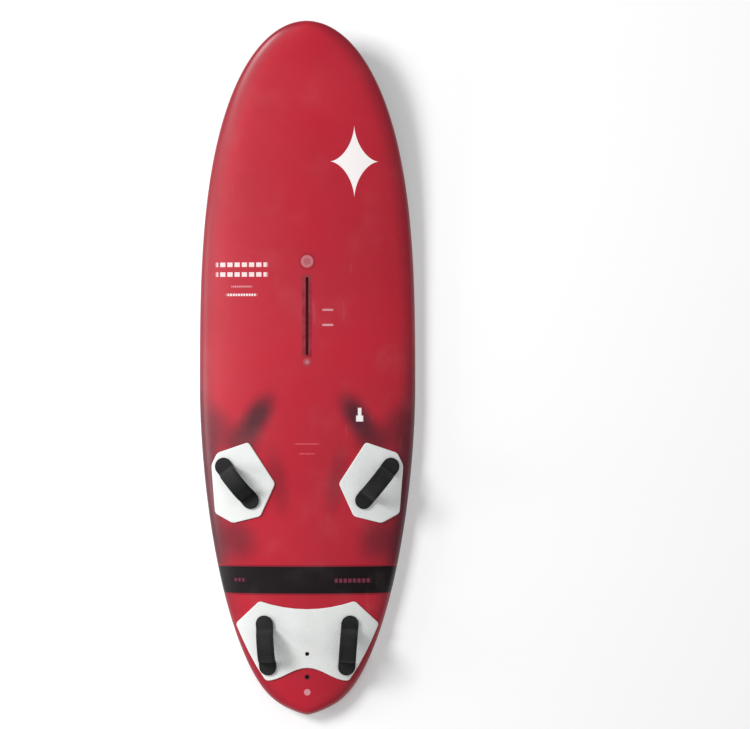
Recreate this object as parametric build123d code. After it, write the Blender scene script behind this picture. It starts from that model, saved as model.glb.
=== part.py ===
from build123d import *
from functools import cache
import math
import os

# A slalom windsurf board, in millimetres. X points to the right-hand rail, Y to the nose and Z up
# from the flat of the bottom. Places along the board are measured as s, from the tail end forward,
# and y = s - LENGTH / 2, so that the origin is under the middle of the board.

# ---- Outline, seen from above ----------------------------------------------------------------
LENGTH = 2350.0
WIDTH = 735.0
WIDE_POINT = 1110.0        # s of the widest section
NOSE_CURVE = (3.0, 2.0)    # the two exponents of the outline ahead of the wide point
TAIL_CURVE = (1.76, 2.24)  # and behind it
TAIL_PINCH = 0.59          # how much the very tip of the tail is drawn in
TAIL_PINCH_RUN = 20.0      # and how fast that dies out

# ---- Side view -------------------------------------------------------------------------------
THICKNESS = 118.0
THICK_POINT = 950.0        # s of the thickest section
TAIL_THICKNESS = 72.0
NOSE_THICKNESS = 58.0
THICKNESS_FADE = 2.3       # exponent of the thinning towards both ends
NOSE_ROCKER = 150.0        # lift of the bottom at the nose
ROCKER_START = 1150.0      # s where the flat of the bottom ends
ROCKER_POWER = 2.4
RAIL_HEIGHT = 32.0         # of the widest line of the rail above the bottom
TAIL_TUCK = 8.0            # width of the round under the rail at the tail
NOSE_TUCK = 34.0           # and at the nose
TAIL_ROUND = 12.0          # run of the rounding of the tail's end
NOSE_ROUND = 25.0
RAIL_FULLNESS = 0.85       # how far the deck's cross curve stays upright at the rail
CROWN_FULLNESS = 0.75      # and level at the middle
ROUND_FULLNESS = 0.5523    # the share that makes a cubic curve a quarter of an ellipse
TIP = 0.3                  # the tips end in a small flat, as wide as the outline is this far in
HALVINGS = 40              # of the interval in which a place on the deck is looked for

# ---- Layers of the hull ----------------------------------------------------------------------
LAMINATE = 1.5             # painted carbon and glass skin
SANDWICH = 4.5             # foam sheet under the skin
BOND = 0.4                 # glue line between two pieces
SEAM = 0.4                 # gap between the deck's and the bottom's pieces, along the rail line
STATIONS = 36              # sections that each layer is built through

# ---- Cut-outs under the tail -----------------------------------------------------------------
CUTOUT_LENGTH = 202.0
CUTOUT_DEPTH = 14.0
STRIP_HALF_FRONT = 61.0    # half of the strip left between the cut-outs
STRIP_HALF_REAR = 41.0
CUTOUT_CORNER = 16.0
WALL_LEAN = 45.0           # degrees of the step's sloping wall

# ---- Mast track ------------------------------------------------------------------------------
SLOT_CENTRE = 1358.0       # s
SLOT_LENGTH = 264.0
SLOT_WIDTH = 9.5
SLOT_LIP = 7.0             # thickness of the two lips beside the slot
CHAMBER_WIDTH = 20.0       # room for the sliding nuts, under the lips
CHAMBER_HEIGHT = 9.0
CHAMBER_CORNER = 4.0
TRACK_WALL = 6.0
TRACK_CORNER = 6.0
TRACK_END = 7.0            # wall past each end of the slot
MAST_BLOCK_WIDTH = 110.0
MAST_BLOCK_MARGIN = 45.0   # foam block past each end of the track
MAST_BLOCK_DEPTH = 62.0
MAST_BLOCK_CORNER = 12.0

# ---- Fin box and its bolts -------------------------------------------------------------------
FIN_CENTRE = 173.0         # s
FIN_MOUTH_LENGTH = 132.0
FIN_MOUTH_WIDTH = 16.0
FIN_TOP_LENGTH = 108.0
FIN_TOP_WIDTH = 12.0
FIN_DEPTH = 62.0
FIN_WALL = 9.0
FIN_ROOF = 5.0
FIN_CORNER = 8.0
ROUND_SHORT = 0.5          # how far the corners of a slot stay short of a full half circle
FIN_BLOCK_MARGIN = 24.0
FIN_BLOCK_CORNER = 10.0
BOLT_PITCH = 80.0
BOLT_HOLE = 6.6            # diameters
BOLT_HEAD_HOLE = 14.0
BOLT_CUP = 20.0
BOLT_CUP_DEPTH = 11.0      # from the deck down to the seat of the bolt's head

# ---- Vent ------------------------------------------------------------------------------------
VENT_PLACE = 1202.0        # s
VENT_FLANGE = 26.0         # diameters
VENT_BODY = 18.0
VENT_LENGTH = 22.0
VENT_RIM_DEPTH = 2.4
VENT_HEAD = 13.5
VENT_HEAD_HEIGHT = 3.2
VENT_NECK = 6.0
VENT_THREAD = 8.0
VENT_THREAD_LENGTH = 11.0
VENT_RING_WIRE = 1.9       # thickness of the sealing ring
VENT_KEY = 2.4             # width of the coin slot
VENT_KEY_DEPTH = 1.6
VENT_KEY_LENGTH = 9.5
VENT_CHAMFER = 0.5
VENT_FLOOR = 2.0
VENT_CLEARANCE = 0.35
RING_FIT = 0.05            # of the sealing ring on the screw's neck
VENT_PASSAGE = 5.0
VENT_PASSAGE_END = 20.0    # how far the breathing hole runs on below the mast block

# ---- Footstraps and their fixings --------------------------------------------------------------
FIX_PITCH = 152.0          # between the two screws of a strap
FRONT_STRAP = (112.6, 791.0, 38.8)   # distance in from the rail, s and toe-out in degrees
REAR_STRAP = (92.1, 242.5, 4.3)
PLUG_BODY = 17.0           # diameters
PLUG_FLANGE = 30.0
PLUG_FLANGE_HEIGHT = 3.0
PLUG_PROUD = 1.2           # top of the plug above the deck
PLUG_LENGTH = 38.0
PLUG_FLOOR = 4.0
PLATE = 27.0
PLATE_HEIGHT = 3.0
WEB_WIDTH = 38.0
WEB_THICKNESS = 2.0
WEB_END = 13.0             # webbing past the screw
WEB_BEND = 9.0
SCREW_SHANK = 6.0          # diameters
SCREW_HEAD = 12.0
SCREW_HEAD_HEIGHT = 3.0
SCREW_LENGTH = 30.0
SCREW_SOCKET = 5.0         # across the flats
SOCKET_FLOOR = 1.0
STACK_GAP = 0.1            # between the stacked pieces at a screw
SCREW_CLEARANCE = 0.15
COVER_WIDTH = 60.0
COVER_THICKNESS = 8.0
COVER_END = 27.0           # cover past the screw
COVER_BEND = 9.0
COVER_CLEARANCE = 0.6      # round the webbing inside
COVER_LIFT = 1.0           # of the cover's end above the screw's head
LEG_SETBACK = 18.0         # from the screw in to the foot of the arch
LEG_LEAN = 78.0            # degrees
ARCH_HEIGHT = 84.0         # of the arch's middle line over the deck

# ---- Deck pads ---------------------------------------------------------------------------------
PAD_THICKNESS = 7.0
PAD_CORNER = 9.0
# Corners of the front pad, each as its distance in from the rail and its s
FRONT_PAD = [(162.3, 931), (52.5, 894), (28.6, 852), (22.6, 689), (79.3, 656), (176.8, 680), (241.1, 791)]
REAR_PAD_HORN = (116.1, 392.0)     # distance in from the rail, s
REAR_PAD_DIP = 365.0
REAR_PAD_CORNER = 314.0
REAR_PAD_HEEL = 119.0
REAR_PAD_NOTCH = 165.0
RAIL_POINTS = 5            # of the rear pad's side, which follows the rail
RAIL_MARGIN_FRONT = 12.0
RAIL_MARGIN_REAR = 30.0
WINDOW_LENGTH = 40.0       # opening in the pad for a strap's end
WINDOW_WIDTH = 46.0
WINDOW_CORNER = 8.0
WINDOW_SHIFT = 2.0         # of its middle from the screw towards the arch

REACH = 400.0              # length of cutting tools that pass right through
OVERRUN = 60.0             # of cutting tools past the hull's outline or a pad
OVERCUT = 1.0              # of bores past the face that they open through
SIDES = {"left": -1, "right": 1}


# ---- The hull's shape --------------------------------------------------------------------------
def half_width(s):
    """Half of the outline's width at s."""
    if s >= WIDE_POINT:
        power, root = NOSE_CURVE
        run = (s - WIDE_POINT) / (LENGTH - WIDE_POINT)
        return WIDTH / 2 * max(0.0, 1 - run**power) ** (1 / root)
    power, root = TAIL_CURVE
    run = (WIDE_POINT - s) / WIDE_POINT
    pinch = 1 - TAIL_PINCH * math.exp(-s / TAIL_PINCH_RUN)
    return WIDTH / 2 * pinch * max(0.0, 1 - run**power) ** (1 / root)


def thickness(s):
    """Thickness of the board at s, before its ends are rounded."""
    if s >= THICK_POINT:
        fade = ((s - THICK_POINT) / (LENGTH - THICK_POINT)) ** THICKNESS_FADE
        return THICKNESS - (THICKNESS - NOSE_THICKNESS) * fade
    fade = ((THICK_POINT - s) / THICK_POINT) ** THICKNESS_FADE
    return THICKNESS - (THICKNESS - TAIL_THICKNESS) * fade


def rail_line(s):
    """Height of the rail's widest line at s."""
    lift = max(0.0, (s - ROCKER_START) / (LENGTH - ROCKER_START)) ** ROCKER_POWER
    return RAIL_HEIGHT + NOSE_ROCKER * lift


def section_sizes(s, inset=0.0):
    """Half-width, tuck, and reach below and above the rail line at s, for a layer inset all round."""
    outer = min(max((s - inset) * LENGTH / (LENGTH - 2 * inset), TIP), LENGTH - TIP)
    half = half_width(outer) * (1 - 2 * inset / WIDTH)
    tuck = TAIL_TUCK + (NOSE_TUCK - TAIL_TUCK) * outer / LENGTH
    tip = math.sqrt((1 - math.exp(-outer / TAIL_ROUND)) * (1 - math.exp((outer - LENGTH) / NOSE_ROUND)))
    below = (RAIL_HEIGHT - inset) * tip
    above = (thickness(outer) - RAIL_HEIGHT - inset) * tip
    return half, tuck * half / (tuck + half), below, above


def deck_height(x, s):
    """Height of the deck's surface at a place on it."""
    half, _, _, above = section_sizes(s)
    low, high = 0.0, 1.0
    for _ in range(HALVINGS):
        t = (low + high) / 2
        out = (1 - t) ** 3 + 3 * (1 - t) ** 2 * t + 3 * (1 - t) * t**2 * (1 - CROWN_FULLNESS)
        low, high = (t, high) if out > abs(x) / half else (low, t)
    return rail_line(s) + above * (3 * (1 - t) ** 2 * t * RAIL_FULLNESS + 3 * (1 - t) * t**2 + t**3)


def deck_point(x, s):
    """The point of the deck's surface over x and s."""
    return Vector(x, s - LENGTH / 2, deck_height(x, s))


def deck_curves(s, inset, lift):
    """The two halves of a section's deck curve, from the right rail over the middle to the left."""
    half, _, _, above = section_sizes(s, inset)
    y, rail = s - LENGTH / 2, rail_line(s)
    shoulder = rail + RAIL_FULLNESS * above
    crown = half * (1 - CROWN_FULLNESS)
    right = [(half, rail + lift), (half, shoulder), (crown, rail + above), (0, rail + above)]
    left = [(-x, z) for x, z in reversed(right)]
    return [Edge.make_bezier(*[(x, y, z) for x, z in points]) for points in (right, left)]


def bottom_curves(s, inset, drop):
    """A section's left tuck, flat bottom and right tuck, from the left rail to the right."""
    half, tuck, below, _ = section_sizes(s, inset)
    y, rail = s - LENGTH / 2, rail_line(s)
    flat, low = half - tuck, rail - below
    round_out = flat + ROUND_FULLNESS * tuck
    round_down = rail - ROUND_FULLNESS * below
    right = [(flat, low), (round_out, low), (half, round_down), (half, rail - drop)]
    left = [(-x, z) for x, z in reversed(right)]
    tucks = [Edge.make_bezier(*[(x, y, z) for x, z in points]) for points in (left, right)]
    return [tucks[0], Edge.make_line((-flat, y, low), (flat, y, low)), tucks[1]]


def stations(inset):
    """Places of a layer's sections: they crowd together towards the two tips."""
    run = LENGTH - 2 * inset
    return [inset + run / 2 * (1 - math.cos(math.pi * i / STATIONS)) for i in range(STATIONS + 1)]


def strips(rows):
    """Faces between each section's curves and the next section's."""
    faces = []
    for row, following in zip(rows, rows[1:]):
        faces += [Face.make_surface_from_curves(a, b) for a, b in zip(row, following)]
    return faces


def chords(rows):
    """Straight edges across each section, between the ends of its curves."""
    return [Edge.make_line(row[0] @ 0, row[-1] @ 1) for row in rows]


def end_caps(rows):
    """Flat faces that close the first and last sections."""
    return [Face(Wire(row + [Edge.make_line(row[-1] @ 1, row[0] @ 0)])) for row in (rows[0], rows[-1])]


def rail_strip(outer, inner):
    """The narrow face all round between the rails of an outer and an inner layer."""
    faces = []
    for place in (0, 1):
        ends = [[chord @ place for chord in chords(rows)] for rows in (outer, inner)]
        for i in range(STATIONS):
            pair = [Edge.make_line(points[i], points[i + 1]) for points in ends]
            faces.append(Face.make_surface_from_curves(*pair))
    for i in (0, -1):
        faces.append(Face.make_surface_from_curves(chords(outer)[i], chords(inner)[i]))
    return faces


def half_shell(curves, outside, inside):
    """The deck's or the bottom's share of one layer, between two insets of the hull."""
    rows = [[curves(s, inset, SEAM / 2) for s in stations(inset)] for inset in (outside, inside)]
    faces = [face for row in rows for face in strips(row) + end_caps(row)]
    return Solid(Shell(faces + rail_strip(*rows)))


@cache
def hull_layer(inset):
    """The hull's closed shape, inset all round."""
    rows = [deck_curves(s, inset, 0) + bottom_curves(s, inset, 0) for s in stations(inset)]
    caps = [Face(Wire(row)) for row in (rows[0], rows[-1])]
    return Solid(Shell(strips(rows) + caps))


# ---- Shapes that cut or hold the layers --------------------------------------------------------
def plan_prism(points, corner, low, high):
    """An upright block over a rounded outline given by x and s."""
    corners = [(x, s - LENGTH / 2) for x, s in points]
    outline = FilletPolyline(*corners, radius=corner, close=True)
    return Pos(0, 0, low) * extrude(make_face(outline), high - low)


def upright_box(width, length, corner, s, low, high):
    """An upright block with rounded corners on the board's middle line."""
    sketch = RectangleRounded(width, length, corner)
    return Pos(0, s - LENGTH / 2, low) * extrude(sketch, high - low)


def upright_rod(diameter, s, low, high):
    """An upright round bar on the board's middle line."""
    return Pos(0, s - LENGTH / 2, low) * extrude(Circle(diameter / 2), high - low)


def tail_cutouts(inset):
    """The two sloping-walled steps under the tail, grown by inset for the layers inside the skin."""
    grow = inset / math.cos(math.radians(WALL_LEAN))
    lean = (STRIP_HALF_FRONT - STRIP_HALF_REAR) / CUTOUT_LENGTH
    front, rear, side = CUTOUT_LENGTH + grow, -OVERRUN, WIDTH / 2 + OVERRUN
    inner_front = STRIP_HALF_FRONT - grow
    inner_rear = STRIP_HALF_REAR + lean * rear - grow
    outline = [(inner_front, front), (inner_rear, rear), (side, rear), (side, front)]
    corners = [(x, s - LENGTH / 2) for x, s in outline]
    face = make_face(Polyline(*corners, close=True))
    face = fillet(face.vertices().sort_by_distance((*corners[0], 0))[0], CUTOUT_CORNER)
    right = extrude(face, CUTOUT_DEPTH + inset, taper=WALL_LEAN)
    return [right, mirror(right, Plane.YZ)]


# ---- Fixing points of the footstraps -----------------------------------------------------------
def strap_plan(end, side):
    """Plan place, direction and sideways direction of one strap."""
    gap, s, toe = {"front": FRONT_STRAP, "rear": REAR_STRAP}[end]
    sign = SIDES[side]
    angle = math.radians(toe)
    along = (sign * math.sin(angle), math.cos(angle))
    return (sign * (half_width(s) - gap), s), along, (along[1], -along[0])


def strap_plane(end, side):
    """The strap's own plane: its middle, the direction of its screws, and up square to the deck."""
    (x, s), along, across = strap_plan(end, side)
    reach = FIX_PITCH / 2
    front = deck_point(x + along[0] * reach, s + along[1] * reach)
    rear = deck_point(x - along[0] * reach, s - along[1] * reach)
    span = COVER_WIDTH / 2
    right = deck_point(x + across[0] * span, s + across[1] * span)
    left = deck_point(x - across[0] * span, s - across[1] * span)
    chord = (front - rear).normalized()
    up = (right - left).cross(chord).normalized()
    return Plane(origin=(front + rear) / 2, x_dir=chord, z_dir=up), (front - rear).length


def tab_slope(end, side, way):
    """Slope of the deck at one screw, along the strap and in its plane."""
    (x, s), along, across = strap_plan(end, side)
    plane = strap_plane(end, side)[0]
    place = way * FIX_PITCH / 2
    step = PLUG_FLANGE / 4
    far = plane.to_local_coords(deck_point(x + along[0] * (place + step), s + along[1] * (place + step)))
    near = plane.to_local_coords(deck_point(x + along[0] * (place - step), s + along[1] * (place - step)))
    return math.atan2(far.Z - near.Z, far.X - near.X)


def fixing_plane(end, side, way):
    """Plane at one screw of a strap: X along the strap, Z out of the deck."""
    plane, pitch = strap_plane(end, side)
    return plane * Pos(way * pitch / 2, 0, 0) * Rot(0, -math.degrees(tab_slope(end, side, way)), 0)


def turned_at(place, diameter, low, high):
    """A round bar on a fixing's axis, from one height to another."""
    return place * Pos(0, 0, low) * extrude(Circle(diameter / 2), high - low)


def each_fixing():
    """Every screw place of the four straps."""
    for end in ("front", "rear"):
        for side in SIDES:
            for way in (-1, 1):
                yield fixing_plane(end, side, way)


# ---- Hull pieces -------------------------------------------------------------------------------
def track_seat():
    """Lowest height of the deck along the mast track, and the track's length and width."""
    length = SLOT_LENGTH + 2 * TRACK_END
    ends = [SLOT_CENTRE - length / 2, SLOT_CENTRE, SLOT_CENTRE + length / 2]
    return min(deck_height(0, s) for s in ends), length, CHAMBER_WIDTH + 2 * TRACK_WALL


def track_body(grow):
    """The outside of the mast track's housing, up through the deck."""
    top, length, width = track_seat()
    depth = SLOT_LIP + CHAMBER_HEIGHT + TRACK_WALL + grow
    corner = TRACK_CORNER + grow
    return upright_box(width + 2 * grow, length + 2 * grow, corner, SLOT_CENTRE, top - depth, top + REACH)


def fin_box_height():
    """Height of the fin box's roof over the bottom."""
    return FIN_DEPTH + FIN_ROOF


def fin_body(grow, low):
    """The outside of the fin box, from a height up to its roof."""
    length = FIN_MOUTH_LENGTH + 2 * FIN_WALL + 2 * grow
    width = FIN_MOUTH_WIDTH + 2 * FIN_WALL + 2 * grow
    return upright_box(width, length, FIN_CORNER + grow, FIN_CENTRE, low, fin_box_height() + grow)


def bolt_places():
    """s of the two fin bolts."""
    return [FIN_CENTRE - BOLT_PITCH / 2, FIN_CENTRE + BOLT_PITCH / 2]


def cup_bodies(grow):
    """The outsides of the two bolt cups, from the fin box's roof up through the deck."""
    low = fin_box_height() + BOND - grow
    return [upright_rod(BOLT_CUP + 2 * grow, s, low, REACH) for s in bolt_places()]


def vent_outline(grow):
    """The outside of the vent insert, its flange let into the deck."""
    top = deck_height(0, VENT_PLACE)
    body = upright_rod(VENT_BODY + 2 * grow, VENT_PLACE, top - VENT_LENGTH - grow, top + REACH)
    flange = upright_rod(VENT_FLANGE + 2 * grow, VENT_PLACE, top - VENT_RIM_DEPTH - grow, top + REACH)
    return body + flange


def plug_shape(place, grow):
    """The outside of one strap plug, grown by grow for the hole that it is bonded in."""
    body = turned_at(place, PLUG_BODY + 2 * grow, PLUG_PROUD - PLUG_LENGTH - grow, PLUG_PROUD)
    low = PLUG_PROUD - PLUG_FLANGE_HEIGHT - grow
    return body + turned_at(place, PLUG_FLANGE + 2 * grow, low, PLUG_PROUD)


def deck_openings():
    """Everything that is let into the deck from above."""
    plugs = [plug_shape(place, BOND) for place in each_fixing()]
    return plugs + [track_body(BOND), vent_outline(BOND)] + cup_bodies(BOND)


def inside_mast_block(grow):
    """The foam block's outline under the mast track, before the deck's shape trims it."""
    top, length, width = track_seat()
    long = length + 2 * MAST_BLOCK_MARGIN + 2 * grow
    low = top - MAST_BLOCK_DEPTH - grow
    corner = MAST_BLOCK_CORNER + grow
    return upright_box(MAST_BLOCK_WIDTH + 2 * grow, long, corner, SLOT_CENTRE, low, top + REACH)


def inside_fin_block(grow):
    """The foam block's outline round the fin box, through the whole core."""
    length = FIN_MOUTH_LENGTH + 2 * FIN_WALL + 2 * FIN_BLOCK_MARGIN + 2 * grow
    width = FIN_MOUTH_WIDTH + 2 * FIN_WALL + 2 * FIN_BLOCK_MARGIN / 2 + 2 * grow
    return upright_box(width, length, FIN_BLOCK_CORNER + grow, FIN_CENTRE, -REACH, REACH)


def vent_passage():
    """The breathing hole under the vent, down into the core."""
    top = deck_height(0, VENT_PLACE)
    low = track_seat()[0] - MAST_BLOCK_DEPTH - VENT_PASSAGE_END
    return upright_rod(VENT_PASSAGE, VENT_PLACE, low, top)


def stepped_bottom(outside, inside):
    """The bottom's share of a layer, turned up over the cut-outs under the tail."""
    flat = half_shell(bottom_curves, outside, inside) - tail_cutouts(outside)
    steps = [
        (grown - cut) & hull_layer(outside)
        for cut, grown in zip(tail_cutouts(outside), tail_cutouts(inside))
    ]
    return (flat + steps) - fin_body(BOND, -REACH)


def hull_pieces():
    """Two skins, two foam sheets, the core and the two foam blocks in it."""
    sheet = LAMINATE + BOND
    under_sheet = sheet + SANDWICH
    core_inset = under_sheet + BOND
    openings = deck_openings()
    core = hull_layer(core_inset) - tail_cutouts(core_inset)
    mast = inside_mast_block(0) & core
    fin = inside_fin_block(0) & core
    pockets = [inside_mast_block(BOND), inside_fin_block(BOND), vent_passage()]
    plugs = [plug_shape(place, BOND) for place in each_fixing()]
    return {
        "deck_laminate": half_shell(deck_curves, 0.0, LAMINATE) - openings,
        "bottom_laminate": stepped_bottom(0.0, LAMINATE),
        "deck_sandwich": half_shell(deck_curves, sheet, under_sheet) - openings,
        "bottom_sandwich": stepped_bottom(sheet, under_sheet),
        "mast_block": mast - track_body(BOND) - vent_outline(BOND) - vent_passage(),
        "fin_block": fin - fin_body(BOND, -REACH) - cup_bodies(BOND),
        "eps_core": core - pockets - plugs,
    }


# ---- Fittings ----------------------------------------------------------------------------------
def mast_track():
    """Moulded housing with a slot for the mast foot's nuts, flush with the deck."""
    top = track_seat()[0]
    chamber_top = top - SLOT_LIP
    chamber_low = chamber_top - CHAMBER_HEIGHT
    body = track_body(0) & hull_layer(0.0)
    round_end = SLOT_WIDTH / 2 - ROUND_SHORT
    slot = upright_box(SLOT_WIDTH, SLOT_LENGTH, round_end, SLOT_CENTRE, chamber_low, top + REACH)
    chamber = upright_box(CHAMBER_WIDTH, SLOT_LENGTH, CHAMBER_CORNER, SLOT_CENTRE, chamber_low, chamber_top)
    return body - slot - chamber


def fin_box():
    """Fin box: a tapered socket open at the bottom, with two bolt holes through its roof."""
    body = fin_body(0, 0)
    mouth = RectangleRounded(FIN_MOUTH_WIDTH, FIN_MOUTH_LENGTH, FIN_MOUTH_WIDTH / 2 - ROUND_SHORT)
    top = RectangleRounded(FIN_TOP_WIDTH, FIN_TOP_LENGTH, FIN_TOP_WIDTH / 2 - ROUND_SHORT)
    socket = loft([mouth, Pos(0, 0, FIN_DEPTH) * top])
    body -= Pos(0, FIN_CENTRE - LENGTH / 2, 0) * socket
    for s in bolt_places():
        body -= upright_rod(BOLT_HOLE, s, FIN_DEPTH - OVERCUT, fin_box_height() + OVERCUT)
    return body


def fin_bolt_cups():
    """Two cups that take the heads of the fin bolts, from the deck down to the fin box."""
    deck = hull_layer(0.0)
    cups = []
    for place, body in zip(bolt_places(), cup_bodies(0)):
        seat = deck_height(0, place) - BOLT_CUP_DEPTH
        cup = (body & deck) - upright_rod(BOLT_HOLE, place, 0, REACH)
        cups.append(cup - upright_rod(BOLT_HEAD_HOLE, place, seat, REACH))
    return cups


def ring_height():
    """Height of the middle of the vent's sealing ring, resting on its seat in the insert."""
    return deck_height(0, VENT_PLACE) - VENT_HEAD_HEIGHT - VENT_RING_WIRE / 2 - VENT_CLEARANCE


def vent_seat():
    """Height of the sealing ring's seat."""
    return ring_height() - VENT_RING_WIRE / 2 - VENT_CLEARANCE


def vent_insert():
    """Threaded insert of the vent, bonded flush into the deck."""
    bore = VENT_THREAD + 2 * VENT_CLEARANCE
    recess = VENT_HEAD + 2 * VENT_CLEARANCE
    body = vent_outline(0) & hull_layer(0.0)
    body -= upright_rod(recess, VENT_PLACE, vent_seat(), REACH)
    floor = deck_height(0, VENT_PLACE) - VENT_LENGTH
    body -= upright_rod(bore, VENT_PLACE, floor + VENT_FLOOR, REACH)
    return body - upright_rod(VENT_PASSAGE, VENT_PLACE, floor - OVERCUT, REACH)


def vent_screw():
    """Vent screw: a coin-slotted head, a neck for the sealing ring and a threaded end."""
    top = deck_height(0, VENT_PLACE) - VENT_CLEARANCE
    under_head = ring_height() + VENT_RING_WIRE / 2 + RING_FIT
    low = vent_seat() - VENT_THREAD_LENGTH
    screw = upright_rod(VENT_HEAD, VENT_PLACE, under_head, top)
    screw = chamfer(screw.edges().group_by(Axis.Z)[-1], VENT_CHAMFER)
    screw += upright_rod(VENT_NECK, VENT_PLACE, vent_seat() - VENT_CLEARANCE, under_head)
    screw += upright_rod(VENT_THREAD, VENT_PLACE, low, vent_seat() - VENT_CLEARANCE)
    key = Box(VENT_KEY_LENGTH, VENT_KEY, 2 * VENT_KEY_DEPTH)
    return screw - Pos(0, VENT_PLACE - LENGTH / 2, top) * key


def vent_o_ring():
    """Sealing ring on the vent screw's neck."""
    middle = VENT_NECK / 2 + RING_FIT + VENT_RING_WIRE / 2
    return Pos(0, VENT_PLACE - LENGTH / 2, ring_height()) * Torus(middle, VENT_RING_WIRE / 2)


def strap_plugs(end, side):
    """Two moulded plugs that take one strap's screws."""
    plugs = []
    for way in (-1, 1):
        place = fixing_plane(end, side, way)
        low = PLUG_PROUD - PLUG_LENGTH + PLUG_FLOOR
        bore = turned_at(place, SCREW_SHANK + 2 * SCREW_CLEARANCE, low, PLUG_PROUD + OVERCUT)
        plugs.append(plug_shape(place, 0) - bore)
    return plugs


def plate_top():
    """Height of the anti-twist plate's top over the deck."""
    return PLUG_PROUD + STACK_GAP + PLATE_HEIGHT


def web_top():
    """Height of the webbing's top over the deck at a screw."""
    return plate_top() + STACK_GAP + WEB_THICKNESS


def strap_plates(end, side):
    """Two anti-twist plates, between the plugs and the webbing."""
    plates = []
    for way in (-1, 1):
        place = fixing_plane(end, side, way)
        plate = turned_at(place, PLATE, PLUG_PROUD + STACK_GAP, plate_top())
        plates.append(plate - turned_at(place, SCREW_SHANK + 2 * SCREW_CLEARANCE, 0, plate_top() + OVERCUT))
    return plates


def strap_screws(end, side):
    """Two socket screws that hold a strap down."""
    screws = []
    low = web_top() + STACK_GAP
    for way in (-1, 1):
        place = fixing_plane(end, side, way)
        head = turned_at(place, SCREW_HEAD, low, low + SCREW_HEAD_HEIGHT)
        shank = turned_at(place, SCREW_SHANK, low - SCREW_LENGTH, low)
        key = extrude(RegularPolygon(SCREW_SOCKET / 2, 6, False), REACH)
        socket = place * Pos(0, 0, low + SOCKET_FLOOR) * key
        screws.append(head + shank - socket)
    return screws


def arch_corners(end, side, height, tail):
    """Corners of a strap's middle line in its own plane, its ends lying height above the deck."""
    pitch = strap_plane(end, side)[1]
    lean = math.radians(LEG_LEAN)
    foot = pitch / 2 - LEG_SETBACK
    corners = []
    for way in (-1, 1):
        slope = tab_slope(end, side, way) * way
        level = height / math.cos(slope)
        meet = (foot * math.sin(lean) + (pitch / 2 * math.tan(slope) - level) * math.cos(lean)) / (
            math.sin(lean) + math.tan(slope) * math.cos(lean)
        )
        rise = level + (meet - pitch / 2) * math.tan(slope)
        far = pitch / 2 + tail
        corners.append([(way * far, level + tail * math.tan(slope)), (way * meet, rise)])
    apex = (0, foot * math.tan(lean))
    return corners[0] + [apex] + corners[1][::-1]


def crown_radius(end, side):
    """Radius of the arch's top that gives it its height."""
    pitch = strap_plane(end, side)[1]
    lean = math.radians(LEG_LEAN)
    apex = (pitch / 2 - LEG_SETBACK) * math.tan(lean)
    return (apex - ARCH_HEIGHT) / (1 / math.cos(lean) - 1)


def standing_prism(outline, end, side):
    """An outline on a strap's own plane drawn out straight up over the board, where the deck leans."""
    plane = strap_plane(end, side)[0]
    lean = plane.y_dir.Z / plane.z_dir.Z
    low = -OVERRUN
    start = Pos(0, lean * (low - web_top()), low)
    return start * extrude(outline, REACH, dir=(0, lean, 1))


def arch_band(end, side, height, tail, bend, thick, outline):
    """A band along a strap's arched middle line, in the strap's own frame, trimmed to an outline."""
    crown = crown_radius(end, side)
    line = FilletPolyline(*arch_corners(end, side, height, tail), radius=(bend, crown, bend))
    face = make_face(offset(line, thick / 2, kind=Kind.INTERSECTION, side=Side.BOTH))
    band = extrude(Plane.XZ * face, REACH / 4, both=True)
    return band & standing_prism(outline, end, side)


def strap_webbing(end, side):
    """The woven strap under the cover, screwed down at both ends."""
    height = web_top() - WEB_THICKNESS / 2
    outline = Rectangle(REACH, WEB_WIDTH)
    web = arch_band(end, side, height, WEB_END, WEB_BEND, WEB_THICKNESS, outline)
    web = strap_plane(end, side)[0] * web
    for way in (-1, 1):
        place = fixing_plane(end, side, way)
        web -= turned_at(place, SCREW_SHANK + 2 * SCREW_CLEARANCE, 0, web_top() + OVERCUT)
    return web


def strap_cover(end, side):
    """The padded cover: a sleeve over the webbing whose round ends lie over the screws."""
    plane, pitch = strap_plane(end, side)
    height = web_top() + STACK_GAP + SCREW_HEAD_HEIGHT + COVER_LIFT + COVER_THICKNESS / 2
    outline = SlotOverall(pitch + 2 * COVER_END, COVER_WIDTH)
    cover = arch_band(end, side, height, COVER_END, COVER_BEND, COVER_THICKNESS, outline)
    inner = web_top() - WEB_THICKNESS / 2
    room = WEB_THICKNESS + 2 * COVER_CLEARANCE
    sleeve = Rectangle(REACH, WEB_WIDTH + 2 * COVER_CLEARANCE)
    return plane * (cover - arch_band(end, side, inner, WEB_END, WEB_BEND, room, sleeve))


# ---- Deck pads ---------------------------------------------------------------------------------
def strap_windows(end, side):
    """The two openings that a pad has for a strap's fixings."""
    windows = []
    for way in (-1, 1):
        opening = extrude(RectangleRounded(WINDOW_LENGTH, WINDOW_WIDTH, WINDOW_CORNER), OVERRUN, both=True)
        windows.append(fixing_plane(end, side, way) * Pos(-way * WINDOW_SHIFT, 0, 0) * opening)
    return windows


def pad_layer():
    """A sheet of pad foam over the whole deck."""
    return half_shell(deck_curves, -BOND - PAD_THICKNESS, -BOND)


def front_pad(side, layer):
    """Seven-sided pad under a front strap."""
    outline = [(SIDES[side] * (half_width(s) - gap), s) for gap, s in FRONT_PAD]
    return (layer & plan_prism(outline, PAD_CORNER, RAIL_HEIGHT, REACH)) - strap_windows("front", side)


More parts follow.
